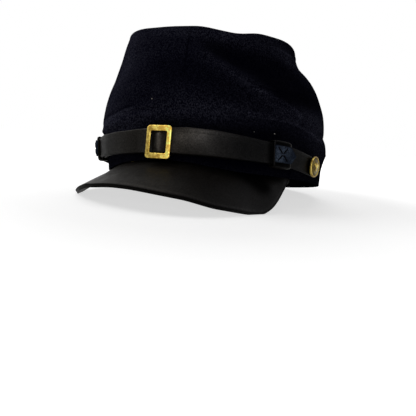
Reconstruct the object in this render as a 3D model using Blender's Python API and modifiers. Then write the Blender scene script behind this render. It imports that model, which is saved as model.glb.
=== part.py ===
"""A kepi, the soft wool forage cap with a leather peak, a chin strap of two layers and brass fittings.

Metres, +Z up. The cap faces -Y and the wearer's left is +X. It is laid out upright about its band, whose
lower edge is the plane z = 0, and then tipped back as it lies on a table: on the two corners of the peak and
the back of the band.
"""

import math
from collections import namedtuple

import bmesh
import bpy
from mathutils import Matrix, Vector

MM = 0.001

BandRow = namedtuple("BandRow", "height outside")
Sag = namedtuple("Sag", "angle drop")
Wave = namedtuple("Wave", "angle spread rise")
Swell = namedtuple("Swell", "angle swell crest")
Fold = namedtuple("Fold", "name angle_a height_a angle_b height_b half_width rise")
Keeper = namedtuple("Keeper", "side angle")
Share = namedtuple("Share", "angle share")
PeakRow = namedtuple("PeakRow", "turn arch lift fullness")
StrapRow = namedtuple("StrapRow", "angle width middle")

# Angles run round the cap in degrees as seen from above: 0 is the front, 90 the wearer's left, 180 the back.

# The band is an oval: a superellipse whose exponent is a little over an ellipse's 2. Its wall leans forward
# and swells above the strap: a row for each height gives how far it stands outside the oval. The whole band
# sags a little at the wearer's right, and the seam above it dips in places.
BAND_HALF_LENGTH = 102 * MM
BAND_HALF_WIDTH = 88 * MM
BAND_EXPONENT = 2.1
BAND_HEIGHT = 39 * MM
BAND_ROWS = (
    BandRow(0 * MM, 0 * MM),
    BandRow(13 * MM, 0 * MM),
    BandRow(19.5 * MM, 0.1 * MM),
    BandRow(26 * MM, 0.3 * MM),
    BandRow(30 * MM, 3.0 * MM),
    BandRow(34.5 * MM, 4.2 * MM),
    BandRow(39 * MM, 3.2 * MM),
)
BAND_SAGS = (
    Sag(0, 0 * MM),
    Sag(100, 0 * MM),
    Sag(250, 1.5 * MM),
    Sag(290, 3.8 * MM),
    Sag(318, 3.2 * MM),
    Sag(348, 0 * MM),
    Sag(360, 0 * MM),
)
SEAM_SAGS = (
    Sag(0, 2.2 * MM),
    Sag(20, 1.2 * MM),
    Sag(34, 2.2 * MM),
    Sag(60, 0.3 * MM),
    Sag(110, 0 * MM),
    Sag(240, 0 * MM),
    Sag(290, 3.4 * MM),
    Sag(322, 6.4 * MM),
    Sag(338, 6.2 * MM),
    Sag(360, 2.2 * MM),
)
# Beside the left button the band bulges out above the strap's end, by this much at each height.
BAND_BULGE = (
    BandRow(0 * MM, 0.3 * MM),
    BandRow(13 * MM, 1.2 * MM),
    BandRow(19.5 * MM, 2.6 * MM),
    BandRow(26 * MM, 4.4 * MM),
    BandRow(30 * MM, 1.5 * MM),
    BandRow(34.5 * MM, -0.4 * MM),
    BandRow(39 * MM, -1.6 * MM),
)
BULGE_SHARES = (
    Share(0, 0),
    Share(88, 0),
    Share(104, 1),
    Share(124, 1),
    Share(156, 0),
    Share(360, 0),
)
FOOT_RISE = 3.9 * MM
FOOT_RISE_ANGLE = math.radians(10)
FOOT_RISE_TO_LEFT = math.radians(34)
FOOT_RISE_TO_RIGHT = math.radians(44)
FOOT_RISE_TO = 13 * MM
SEAM_SAG_FROM = 24 * MM
SEAM_FOOT = 1.5 * MM
LEAN = 0.17
LEAN_HEIGHT = 15.5 * MM
WOOL = 2.6 * MM
GAP = 0.3 * MM

# The crown's top is a circle that stands forward of the band, dips to the front and to the wearer's left, and
# waves: a row gives where it rises or sags, or is drawn in or out.
RIM_RADIUS = 70.5 * MM
RIM_HEIGHT = 111 * MM
RIM_FORWARD = 22 * MM
RIM_DIP = math.radians(8.7)
RIM_LEFT_DIP = math.radians(6)
RIM_WAVES = (
    Wave(-12, 15, -0.8 * MM),
    Wave(20, 9, 0.9 * MM),
    Wave(40, 26, -1.5 * MM),
    Wave(42, 8, -0.6 * MM),
    Wave(56, 9, 0.9 * MM),
    Wave(75, 28, 1.5 * MM),
)
RIM_PULLS = (
    Wave(-50, 16, 1.3 * MM),
    Wave(110, 24, -2.8 * MM),
)
SHOULDER = 6 * MM
TOP_LIP = 1.5 * MM
TOP_SINK = 7 * MM

# How far the crown's wall swells out between band and rim, most at the crest, a share of the wall's height.
SWELLS = (
    Swell(0, 3.6 * MM, 0.45),
    Swell(45, 4 * MM, 0.40),
    Swell(84, 4.6 * MM, 0.34),
    Swell(106, 6.6 * MM, 0.44),
    Swell(130, 8 * MM, 0.38),
    Swell(180, 14 * MM, 0.35),
    Swell(270, 8 * MM, 0.40),
    Swell(330, 1.6 * MM, 0.34),
    Swell(360, 3.6 * MM, 0.45),
)

# Folds and dents of the crown: each runs from one place to another, given by an angle and a share of the
# wall's height, and stands out by its rise, or in where that is negative.
FOLDS = (
    Fold("ridge to the left", 24, 0.74, 65, 0.11, 8 * MM, 3.4 * MM),
    Fold("valley above the ridge", 32, 0.80, 82, 0.38, 12 * MM, -6.0 * MM),
    Fold("fold under the rim", 66, 0.92, 78, 0.80, 5 * MM, 2.0 * MM),
    Fold("notch under that fold", 74, 0.80, 118, 0.84, 7 * MM, -2.9 * MM),
    Fold("dent in front", 4, 0.52, 16, 0.40, 15 * MM, -3.0 * MM),
    Fold("soft corner of the rim", 88, 0.93, 124, 0.93, 6 * MM, -1.2 * MM),
    Fold("dent at the right", -44, 0.62, -20, 0.60, 12 * MM, -3.0 * MM),
    Fold("slump at the back", 140, 0.62, 220, 0.60, 10 * MM, -4.0 * MM),
)
FOLD_FADE_FOOT = 0.12
FOLD_FADE_RIM = 0.06

# The peak's edge bows out from the band; its middle is its highest part and its corners droop.
PEAK_ANGLE = math.radians(66)
PEAK_HALF_WIDTH = 82 * MM
PEAK_ASIDE = 1.5 * MM
PEAK_ROOT = 46 * MM
PEAK_REACH = 92 * MM
PEAK_SIDE_POWER = 0.8
PEAK_FRONT_POWER = 1.35
PEAK_MIDDLE_DROP = 16.6 * MM
PEAK_CORNER_DROP = 25.2 * MM
PEAK_DROP_POWER = 1.6
PEAK_LEFT_RISE_FROM = math.radians(62.5)
PEAK_RIGHT_RISE_FROM = math.radians(36)
PEAK_TWIST = 2.4 * MM
PEAK_TWIST_FADE = 0.3
# At each turn round the edge, the sheet arches between band and edge, and the edge lifts and bows out.
PEAK_SHAPE = (
    PeakRow(-90, 0 * MM, 0 * MM, 0 * MM),
    PeakRow(-77, -0.1 * MM, -0.5 * MM, -0.2 * MM),
    PeakRow(-61, -0.1 * MM, -0.5 * MM, 0.5 * MM),
    PeakRow(-45, -0.4 * MM, -0.9 * MM, 1.1 * MM),
    PeakRow(-27, -0.5 * MM, -1.1 * MM, -1.0 * MM),
    PeakRow(-10, 1.0 * MM, 0.3 * MM, -1.2 * MM),
    PeakRow(8, 2.6 * MM, 1.4 * MM, -0.7 * MM),
    PeakRow(26, 2.6 * MM, 1.4 * MM, -0.8 * MM),
    PeakRow(43, 0.3 * MM, -0.2 * MM, -0.8 * MM),
    PeakRow(57, 0 * MM, -0.4 * MM, -0.6 * MM),
    PeakRow(70, 2.7 * MM, 0.5 * MM, 2.0 * MM),
    PeakRow(80, 2.0 * MM, -0.3 * MM, 1.0 * MM),
    PeakRow(90, 0 * MM, 0 * MM, 0 * MM),
)
PEAK_LEATHER = 2.8 * MM
PEAK_UNDER_LEFT = 1.7 * MM
PEAK_UNDER_RIGHT = 2.5 * MM
PEAK_MOST = math.radians(87.5)
PEAK_SIDES = 40
PEAK_ROWS = 5

# The chin strap: two layers of leather that slide in each other's keepers. It is widest beside the buckle, and
# its middle line wanders and sinks towards the buttons. Offsets are from the band's outer face.
STRAP_ROWS = (
    StrapRow(-90, 14.3 * MM, 10.6 * MM),
    StrapRow(-81, 14.5 * MM, 12.0 * MM),
    StrapRow(-60, 14.8 * MM, 14.5 * MM),
    StrapRow(-43, 15.0 * MM, 15.6 * MM),
    StrapRow(-30, 15.3 * MM, 15.5 * MM),
    StrapRow(-20, 15.1 * MM, 14.4 * MM),
    StrapRow(-10, 15.6 * MM, 14.3 * MM),
    StrapRow(0, 16.2 * MM, 15.3 * MM),
    StrapRow(8, 16.4 * MM, 15.7 * MM),
    StrapRow(18, 17.6 * MM, 16.4 * MM),
    StrapRow(30, 16.9 * MM, 16.2 * MM),
    StrapRow(40, 15.8 * MM, 15.5 * MM),
    StrapRow(50, 14.6 * MM, 14.9 * MM),
    StrapRow(64, 14.6 * MM, 14.5 * MM),
    StrapRow(81, 14.6 * MM, 11.6 * MM),
    StrapRow(90, 14.4 * MM, 10.2 * MM),
)
STRAP_LEATHER = 1.8 * MM
INNER_OFFSET = 2.3 * MM
OUTER_OFFSET = 4.6 * MM
BUTTON_ANGLE = 81
STRAP_END = 6.5 * MM
STRAP_END_BLUNT = 0.12
OVERLAP_EASE = 8
STRAP_END_STEP = 1.0
STRAP_STEP = 3.2
STRAP_COLUMNS = (-1, 0, 1)
STRAP_PAST_KEEPER = 2.5
STRAP_PAST_BUTTON = 4

BUCKLE_ANGLE = 7.8
BUCKLE_TILT = math.radians(-10)
BUCKLE_WIDTH = 17.9 * MM
BUCKLE_HEIGHT = 21.9 * MM
BUCKLE_DROP = 1.4 * MM
BUCKLE_SIDE = 3.1 * MM
BUCKLE_RAIL = 3.8 * MM
BUCKLE_THICKNESS = 1.6 * MM
BUCKLE_CORNER = 2.4 * MM
BUCKLE_LIFT = 2.6 * MM
BUCKLE_LIFT_SPREAD = 11
BUCKLE_HUMP = 1.3 * MM
BUCKLE_HUMP_SPREAD = 2.6
BUCKLE_HUMP_EDGE = 0.75
BUCKLE_STEP = 1.3
BUCKLE_COLUMNS = (-1, -0.75, -0.45, 0, 0.45, 0.75, 1)
BUCKLE_BEVEL = 0.35 * MM
BUCKLE_OPENING_CORNER = 0.8 * MM
BUCKLE_POST_INSET = 0.5 * MM
BUCKLE_POST_SCALE = 0.98
BUCKLE_INNER_TWIST = 0.5
BUCKLE_PLAY = 0.4 * MM
BUCKLE_BAR_WIDTH = 3.0 * MM
BUCKLE_BAR_THICKNESS = 1.3 * MM

KEEPER_LENGTH = 14.6 * MM
KEEPER_HEIGHT = 18.6 * MM
KEEPER_WALL = 1.2 * MM
KEEPER_BACK = 0.7 * MM
KEEPER_ROWS = 5
KEEPER_CORNER_STEPS = 3
KEEPER_CORNER = 1.1 * MM
KEEPERS = (Keeper("left", 58), Keeper("right", -43))

TAB_LENGTH = 12.6 * MM
TAB_POINT = 4.8 * MM
TAB_FROM = -6.9 * MM
TAB_TIP = 0.04
TAB_HEIGHT = 11.4 * MM
TAB_THICKNESS = 1.0 * MM
TAB_ROWS = 11

BUTTON_RADIUS = 7.9 * MM
BUTTON_RIM = 1.5 * MM
BUTTON_DOME = 3.2 * MM
BUTTON_DOME_FOOT = 1.6 * MM
BUTTON_DOME_STEPS = 4
BUTTON_STEPS = 24
BUTTON_RIM_PROFILE = (
    (-1.2 * MM, 2.3 * MM),
    (-0.5 * MM, 2.4 * MM),
    (0 * MM, 1.9 * MM),
    (0 * MM, 0.8 * MM),
    (-0.9 * MM, 0.1 * MM),
)
BUTTON_SHANK_REACH = 1.5 * MM
BUTTON_SHANK = 1.5 * MM
BUTTON_HOLE = 1.9 * MM
HOLE_CUTTER = 24 * MM

# The cap at rest: on the two corners of its peak and the back of its band, pressed a little into the table.
REST_PRESS = 0.8 * MM
REST_PASSES = 3
PEAK_CORNER_RANGE = (20, 90)
REST_SHIFT = Vector((0.85, 14.0, 0)) * MM
TABLE = 500 * MM

FINE_SIDES = 30
FINE_TO = 120
COARSE_SIDES = 28
CROWN_ROWS = 14
SHOULDER_ROWS = 3
TOP_RINGS = 3

COLOURS = {
    "wool": ((0.012, 0.013, 0.020), 0.95, 0.0),
    "peak_leather": ((0.016, 0.014, 0.013), 0.45, 0.0),
    "strap_leather": ((0.022, 0.020, 0.018), 0.50, 0.0),
    "tab_leather": ((0.030, 0.040, 0.062), 0.60, 0.0),
    "brass": ((0.62, 0.42, 0.12), 0.32, 1.0),
}


def signed_power(value, exponent):
    return math.copysign(abs(value) ** exponent, value)


def smooth(x):
    """0 at 0, 1 at 1, level at both ends."""
    x = min(max(x, 0.0), 1.0)
    return x * x * (3 - 2 * x)


def oval(angle, offset=0.0):
    """The band's outline, this far outside its outer face. The angle is from the front towards the left."""
    power = 2 / BAND_EXPONENT
    x = (BAND_HALF_WIDTH + offset) * signed_power(math.sin(angle), power)
    y = -(BAND_HALF_LENGTH + offset) * signed_power(math.cos(angle), power)
    return Vector((x, y, 0))


def outward(angle):
    """The direction straight out of the band at this angle."""
    step = 1e-3
    along = oval(angle + step) - oval(angle - step)
    return along.cross(Vector((0, 0, 1))).normalized()


def around():
    """The angles of the crown's and band's facets, finer where the crown is folded."""
    fine = [FINE_TO * i / FINE_SIDES for i in range(FINE_SIDES)]
    coarse = [FINE_TO + (360 - FINE_TO) * i / COARSE_SIDES for i in range(COARSE_SIDES)]
    return [math.radians(degrees) for degrees in fine + coarse]


def sag_at(rows, angle):
    (drop,) = eased(rows, math.degrees(angle) % 360)
    return drop


def between(rows, at):
    """The other columns' values where the first column is this, on a straight line from row to row."""
    for before, after in zip(rows, rows[1:]):
        if before[0] <= at <= after[0]:
            share = (at - before[0]) / (after[0] - before[0])
            return tuple(a + (b - a) * share for a, b in zip(before[1:], after[1:]))
    raise ValueError(at)


def wall(angle, offset, height):
    """A point this far outside the band's oval at this height. The wall leans about the lean height."""
    lean = LEAN * (LEAN_HEIGHT - height)
    return oval(angle, offset) + Vector((0, lean, height - sag_at(BAND_SAGS, angle)))


def foot_rise(angle, height=0.0):
    """How far the peak's seam is drawn up in front, and less and less of the band above it."""
    away = math.remainder(angle - FOOT_RISE_ANGLE, 2 * math.pi)
    share = 1 - max(away / FOOT_RISE_TO_LEFT, -away / FOOT_RISE_TO_RIGHT)
    return FOOT_RISE * smooth(share) * max(0, 1 - height / FOOT_RISE_TO)


def band_wall(angle, outside, height):
    """A point of the band's outer face, with its bulge, its drawn-up foot and the dips of the seam."""
    (bulge,) = between(BAND_BULGE, height)
    (here,) = eased(BULGE_SHARES, math.degrees(angle) % 360)
    share = smooth((height - SEAM_SAG_FROM) / (BAND_HEIGHT - SEAM_SAG_FROM))
    dip = sag_at(SEAM_SAGS, angle) * share
    return wall(angle, outside + bulge * here, height - dip + foot_rise(angle, height))


def eased(rows, at):
    """The other columns' values where the first column is this, eased from row to row."""
    for before, after in zip(rows, rows[1:]):
        if before[0] <= at <= after[0]:
            share = smooth((at - before[0]) / (after[0] - before[0]))
            return tuple(a + (b - a) * share for a, b in zip(before[1:], after[1:]))
    raise ValueError(at)


def material(name):
    if name in bpy.data.materials:
        return bpy.data.materials[name]
    colour, roughness, metallic = COLOURS[name]
    made = bpy.data.materials.new(name)
    made.use_nodes = True
    shader = made.node_tree.nodes["Principled BSDF"]
    shader.inputs["Base Color"].default_value = (*colour, 1)
    shader.inputs["Roughness"].default_value = roughness
    shader.inputs["Metallic"].default_value = metallic
    return made


def add(name, mesh, finish, parent, collection):
    """A new object in this collection, shaded smooth, under this parent."""
    made = bpy.data.objects.new(name, mesh)
    if finish:
        mesh.materials.append(material(finish))
    mesh.shade_smooth()
    collection.objects.link(made)
    made.parent = parent
    return made


def loft(name, rows, closed=False):
    """A mesh with a face between each row of points and the next. A closed loft also joins each row's ends."""
    mesh = bpy.data.meshes.new(name)
    count = len(rows[0])
    points = [tuple(p) for row in rows for p in row]
    last = count if closed else count - 1
    faces = []
    for r in range(len(rows) - 1):
        for i in range(last):
            j = (i + 1) % count
            faces.append((r * count + i, r * count + j, (r + 1) * count + j, (r + 1) * count + i))
    mesh.from_pydata(points, [], faces)
    return mesh


def close_middle(mesh, centre):
    """Closes the open loop at the end of a loft with a fan to this centre."""
    shape = bmesh.new()
    shape.from_mesh(mesh)
    shape.verts.ensure_lookup_table()
    ring = list(shape.verts)[-len(around()):]
    middle = shape.verts.new(centre)
    for before, after in zip(ring, ring[1:] + ring[:1]):
        shape.faces.new((before, after, middle))
    shape.to_mesh(mesh)
    shape.free()


def solidify(made, thickness, offset=-1.0):
    modifier = made.modifiers.new("thickness", "SOLIDIFY")
    modifier.thickness = thickness
    modifier.offset = offset
    modifier.use_even_offset = True
    return modifier


def boolean(made, other, operation="DIFFERENCE"):
    modifier = made.modifiers.new(other.name, "BOOLEAN")
    modifier.operation = operation
    modifier.object = other
    modifier.solver = "EXACT"


def hide(helper):
    helper.hide_render = True
    helper.display_type = "WIRE"
    return helper


def swell_at(angle):
    """(swell, crest) of the crown's wall at this angle."""
    return eased(SWELLS, math.degrees(angle) % 360)


def fold_at(angle, height):
    """How far the folds push the wall out at this angle and share of its height."""
    wall_height = RIM_HEIGHT - BAND_HEIGHT
    mean_radius = (BAND_HALF_WIDTH + RIM_RADIUS) / 2
    total = 0.0
    for fold in FOLDS:
        turn = math.radians((math.degrees(angle) - fold.angle_a + 180) % 360 - 180)
        here = Vector((turn * mean_radius, (height - fold.height_a) * wall_height))
        run_turn = math.radians(fold.angle_b - fold.angle_a)
        run = Vector((run_turn * mean_radius, (fold.height_b - fold.height_a) * wall_height))
        share = min(max(here.dot(run) / run.length_squared, 0), 1)
        away = (here - run * share).length / fold.half_width
        total += fold.rise * math.exp(-away * away)
    return total * smooth(height / FOLD_FADE_FOOT) * smooth((1 - height) / FOLD_FADE_RIM)


def rim_turn():
    return Matrix.Rotation(RIM_DIP, 3, "X") @ Matrix.Rotation(RIM_LEFT_DIP, 3, "Y")


def wave_at(rows, angle):
    """The sum of these waves at this angle."""
    total = 0.0
    for wave in rows:
        turn = ((math.degrees(angle) - wave.angle + 180) % 360 - 180) / wave.spread
        total += wave.rise * math.exp(-turn * turn)
    return total


def rim_point(angle, radius, rise=0.0):
    """A point of the tilted circle at the crown's top, or this far above it."""
    drawn = radius + wave_at(RIM_PULLS, angle) * radius / RIM_RADIUS
    flat = Vector((drawn * math.sin(angle), -drawn * math.cos(angle), rise + wave_at(RIM_WAVES, angle)))
    return rim_turn() @ flat + Vector((0, -RIM_FORWARD, RIM_HEIGHT))


def crown_row(height):
    """The crown's outline at this share of the wall's height, from its seam to the foot of the shoulder."""
    row = []
    for angle in around():
        foot = band_wall(angle, BAND_ROWS[-1].outside, BAND_HEIGHT) + Vector((0, 0, GAP + SEAM_FOOT))
        head = rim_point(angle, RIM_RADIUS, -SHOULDER)
        swell, crest = swell_at(angle)
        shape = math.sin(math.pi * height ** (math.log(0.5) / math.log(crest)))
        push = swell * shape + fold_at(angle, height)
        row.append(foot.lerp(head, height) + outward(angle) * push)
    return row


def crown_body(cap, collection):
    rows = [crown_row(r / CROWN_ROWS) for r in range(CROWN_ROWS + 1)]
    rows.insert(0, [point - Vector((0, 0, SEAM_FOOT)) for point in rows[0]])
    shoulder = [math.pi / 2 * r / SHOULDER_ROWS for r in range(1, SHOULDER_ROWS + 1)]
    turns = [(RIM_RADIUS - SHOULDER * (1 - math.cos(t)), SHOULDER * (math.sin(t) - 1)) for t in shoulder]
    turns.append((RIM_RADIUS - SHOULDER - TOP_LIP, 0.0))
    for radius, rise in turns:
        rows.append([rim_point(angle, radius, rise) for angle in around()])
    made = add("crown_body", loft("crown_body", rows, closed=True), "wool", cap, collection)
    solidify(made, WOOL)
    return made


def turned(name, profile, steps, finish, parent, collection):
    """A solid turned about its own Z axis. The profile runs from the axis down its outer side to the axis."""
    mesh = bpy.data.meshes.new(name)
    points = [(radius, 0, height) for radius, height in profile]
    mesh.from_pydata(points, [(i, i + 1) for i in range(len(points) - 1)], [])
    made = add(name, mesh, finish, parent, collection)
    screw = made.modifiers.new("turn", "SCREW")
    screw.steps = steps
    screw.render_steps = steps
    screw.use_merge_vertices = True
    screw.merge_threshold = 1e-5
    return made


def crown_top(cap, collection):
    """The top disc: it lies inside the rim and sinks towards its middle."""
    outer = RIM_RADIUS - SHOULDER - TOP_LIP - 2 * GAP
    rows = []
    for ring in range(TOP_RINGS, 0, -1):
        share = ring / TOP_RINGS
        sink = TOP_SINK * (1 - smooth(share))
        waves = [wave_at(RIM_WAVES, angle) * (share - 1) for angle in around()]
        rows.append([rim_point(a, outer * share, wave - sink) for a, wave in zip(around(), waves)])
    mesh = loft("crown_top", rows, closed=True)
    close_middle(mesh, rim_turn() @ Vector((0, 0, -TOP_SINK)) + Vector((0, -RIM_FORWARD, RIM_HEIGHT)))
    made = add("crown_top", mesh, "wool", cap, collection)
    solidify(made, WOOL)
    return made


def band(cap, collection):
    rows = [[band_wall(angle, row.outside, row.height) for angle in around()] for row in BAND_ROWS]
    made = add("band", loft("band", rows, closed=True), "wool", cap, collection)
    solidify(made, WOOL)
    return made


def peak_edge(turn):
    """The peak's outer edge: turn runs from -90 degrees, at the band on the right, to 90 on the left."""
    side = signed_power(math.sin(turn), PEAK_SIDE_POWER)
    front = max(math.cos(turn), 0) ** PEAK_FRONT_POWER
    drop = PEAK_MIDDLE_DROP + (PEAK_CORNER_DROP - PEAK_MIDDLE_DROP) * abs(side) ** PEAK_DROP_POWER
    rise_from = PEAK_LEFT_RISE_FROM if turn > 0 else PEAK_RIGHT_RISE_FROM
    drop *= 1 - smooth((abs(turn) - rise_from) / (math.pi / 2 - rise_from))
    twist = PEAK_TWIST * side * smooth(front / PEAK_TWIST_FADE)
    sag = sag_at(BAND_SAGS, PEAK_ANGLE * turn / (math.pi / 2))
    _, lift, fullness = eased(PEAK_SHAPE, math.degrees(turn))
    x = PEAK_HALF_WIDTH * side + PEAK_ASIDE + fullness * math.sin(turn)
    y = -(PEAK_ROOT + PEAK_REACH * front + fullness * math.cos(turn))
    return Vector((x, y, lift - drop - twist - sag))


def peak(cap, collection):
    rows = []
    for r in range(PEAK_ROWS, -1, -1):
        out = r / PEAK_ROWS
        row = []
        for i in range(PEAK_SIDES + 1):
            turn = PEAK_MOST * (2 * i / PEAK_SIDES - 1)
            angle = PEAK_ANGLE * turn / (math.pi / 2)
            root = wall(angle, -0.5 * WOOL, foot_rise(angle) - GAP)
            edge = peak_edge(turn)
            arch, _, _ = eased(PEAK_SHAPE, math.degrees(turn))
            row.append(root.lerp(edge, out) + Vector((0, 0, arch * 4 * out * (1 - out))))
        rows.append(row)
    made = add("peak", loft("peak", rows), "peak_leather", cap, collection)
    solidify(made, PEAK_LEATHER)
    return made


def strap_height(degrees):
    _, middle = between(STRAP_ROWS, degrees)
    return middle


def near(degrees, centre, spread):
    """1 at the centre, easing to 0 at this many degrees from it."""
    return smooth(1 - abs(degrees - centre) / spread)


def strip(name, angles, columns, offset, further, cap, collection):
    """A leather strip round the band through these angles in degrees, with rounded ends. offset gives its
    inner face, and further how far a point stands out from that, by its angle and its place across, -1 to 1."""
    rows = []
    for degrees in angles:
        end = min(abs(degrees - angles[0]), abs(degrees - angles[-1])) * math.radians(1) * BAND_HALF_WIDTH
        inset = max(0, STRAP_END - end) / STRAP_END
        width, middle = between(STRAP_ROWS, degrees)
        half = width / 2 * math.sqrt(max(STRAP_END_BLUNT, 1 - inset**2))
        out = offset(degrees) + STRAP_LEATHER / 2
        row = []
        for across in columns:
            point = wall(math.radians(degrees), out + further(degrees, across), middle + half * across)
            row.append(point)
        rows.append(row)
    made = add(name, loft(name, rows), "strap_leather", cap, collection)
    solidify(made, STRAP_LEATHER, 0.0)
    return made


def spaced(first, last, step):
    """Even angles from first up to last, about this far apart, without the last."""
    count = max(1, round((last - first) / step))
    return [first + (last - first) * i / count for i in range(count)]


def outer_offset(degrees):
    """The outer layer lies close to the band at the right button, over the inner layer from the right keeper
    on, and stands out further where it runs over the buckle's bar."""
    first = OVERLAP_EASE - BUTTON_ANGLE
    over = smooth((degrees - first) / (KEEPERS[1].angle - OVERLAP_EASE - first))
    lift = BUCKLE_LIFT * near(degrees, BUCKLE_ANGLE, BUCKLE_LIFT_SPREAD)
    return INNER_OFFSET + (OUTER_OFFSET - INNER_OFFSET) * over + lift


def inner_offset(degrees):
    return INNER_OFFSET


def buckle_twist(degrees, across):
    """The strap tips with the buckle, so that its upper edge lies nearer to the band."""
    width, _ = between(STRAP_ROWS, BUCKLE_ANGLE)
    return math.tan(BUCKLE_TILT) * width / 2 * across * near(degrees, BUCKLE_ANGLE, BUCKLE_LIFT_SPREAD)


def outer_further(degrees, across):
    """The outer layer tips with the buckle and bulges through its opening."""
    ridge = near(degrees, BUCKLE_ANGLE, BUCKLE_HUMP_SPREAD)
    hump = BUCKLE_HUMP * ridge * smooth((BUCKLE_HUMP_EDGE - abs(across)) / (1 - BUCKLE_HUMP_EDGE))
    return hump + buckle_twist(degrees, across)


def inner_further(degrees, across):
    return buckle_twist(degrees, across) * BUCKLE_INNER_TWIST


def strap_outer(cap, collection):
    first = -BUTTON_ANGLE - STRAP_PAST_BUTTON
    last = KEEPERS[0].angle + STRAP_PAST_KEEPER
    angles = [
        *spaced(first, first + STRAP_PAST_BUTTON, STRAP_END_STEP),
        *spaced(first + STRAP_PAST_BUTTON, BUCKLE_ANGLE - BUCKLE_LIFT_SPREAD, STRAP_STEP),
        *spaced(BUCKLE_ANGLE - BUCKLE_LIFT_SPREAD, BUCKLE_ANGLE + BUCKLE_LIFT_SPREAD, BUCKLE_STEP),
        *spaced(BUCKLE_ANGLE + BUCKLE_LIFT_SPREAD, last - STRAP_PAST_BUTTON, STRAP_STEP),
        *spaced(last - STRAP_PAST_BUTTON, last, STRAP_END_STEP),
        last,
    ]
    return strip("strap_outer", angles, BUCKLE_COLUMNS, outer_offset, outer_further, cap, collection)


def strap_inner(cap, collection):
    first = KEEPERS[1].angle - STRAP_PAST_KEEPER
    last = BUTTON_ANGLE + STRAP_PAST_BUTTON
    angles = [
        *spaced(first, first + STRAP_PAST_BUTTON, STRAP_END_STEP),
        *spaced(first + STRAP_PAST_BUTTON, last - STRAP_PAST_BUTTON, STRAP_STEP),
        *spaced(last - STRAP_PAST_BUTTON, last, STRAP_END_STEP),
        last,
    ]
    return strip("strap_inner", angles, STRAP_COLUMNS, inner_offset, inner_further, cap, collection)


def stand_on(made, degrees, out, height, turn=0.0):
    """Places an object whose own axes are X along the strap, -Y outward and Z up, turned about its X."""
    angle = math.radians(degrees)
    normal = outward(angle)
    made.location = wall(angle, 0, height) + normal * out
    made.rotation_euler = (math.atan(-LEAN * normal.y) + turn, 0, math.atan2(normal.x, -normal.y))
    return made


def rounded_outline(curve, width, height, radius):
    """Adds a rectangle with round corners to a 2D curve."""
    corner_steps = 4
    points = []
    for quarter in range(4):
        sign_x = 1 if quarter in (0, 3) else -1
        sign_y = 1 if quarter in (0, 1) else -1
        for step in range(corner_steps + 1):
            turn = math.pi / 2 * (quarter + step / corner_steps)
            x = sign_x * (width / 2 - radius) + radius * math.cos(turn)
            y = sign_y * (height / 2 - radius) + radius * math.sin(turn)
            points.append((x, y))
    spline = curve.splines.new("POLY")
    spline.points.add(len(points) - 1)
    for point, (x, y) in zip(spline.points, points):
        point.co = (x, y, 0, 1)
    spline.use_cyclic_u = True


def plate(name, outlines, thickness, bevel=0.0):
    """A mesh made from a flat 2D outline with holes, this thick, facing -Y, its back at y = 0."""
    curve = bpy.data.curves.new(name, "CURVE")
    curve.dimensions = "2D"
    curve.fill_mode = "BOTH"
    curve.extrude = thickness / 2 - bevel
    curve.bevel_depth = bevel
    curve.bevel_resolution = 0
    curve.offset = -bevel
    for width, height, radius in outlines:
        rounded_outline(curve, width, height, radius)
    helper = bpy.data.objects.new(name, curve)
    bpy.context.scene.collection.objects.link(helper)
    bpy.context.view_layer.update()
    graph = bpy.context.evaluated_depsgraph_get()
    mesh = bpy.data.meshes.new_from_object(helper.evaluated_get(graph))
    bpy.data.objects.remove(helper)
    mesh.transform(Matrix.Rotation(math.pi / 2, 4, "X"))
    mesh.transform(Matrix.Translation((0, -thickness / 2, 0)))
    shape = bmesh.new()
    shape.from_mesh(mesh)
    bmesh.ops.remove_doubles(shape, verts=shape.verts, dist=1e-6)
    bmesh.ops.recalc_face_normals(shape, faces=shape.faces)
    shape.to_mesh(mesh)
    shape.free()
    mesh.materials.clear()
    return mesh


def block(name, size, centre):
    """A box mesh of this size about this centre."""
    mesh = bpy.data.meshes.new(name)
    shape = bmesh.new()
    bmesh.ops.create_cube(shape, size=1.0)
    bmesh.ops.scale(shape, vec=size, verts=shape.verts)
    bmesh.ops.translate(shape, vec=centre, verts=shape.verts)
    shape.to_mesh(mesh)
    shape.free()
    return mesh


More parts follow.
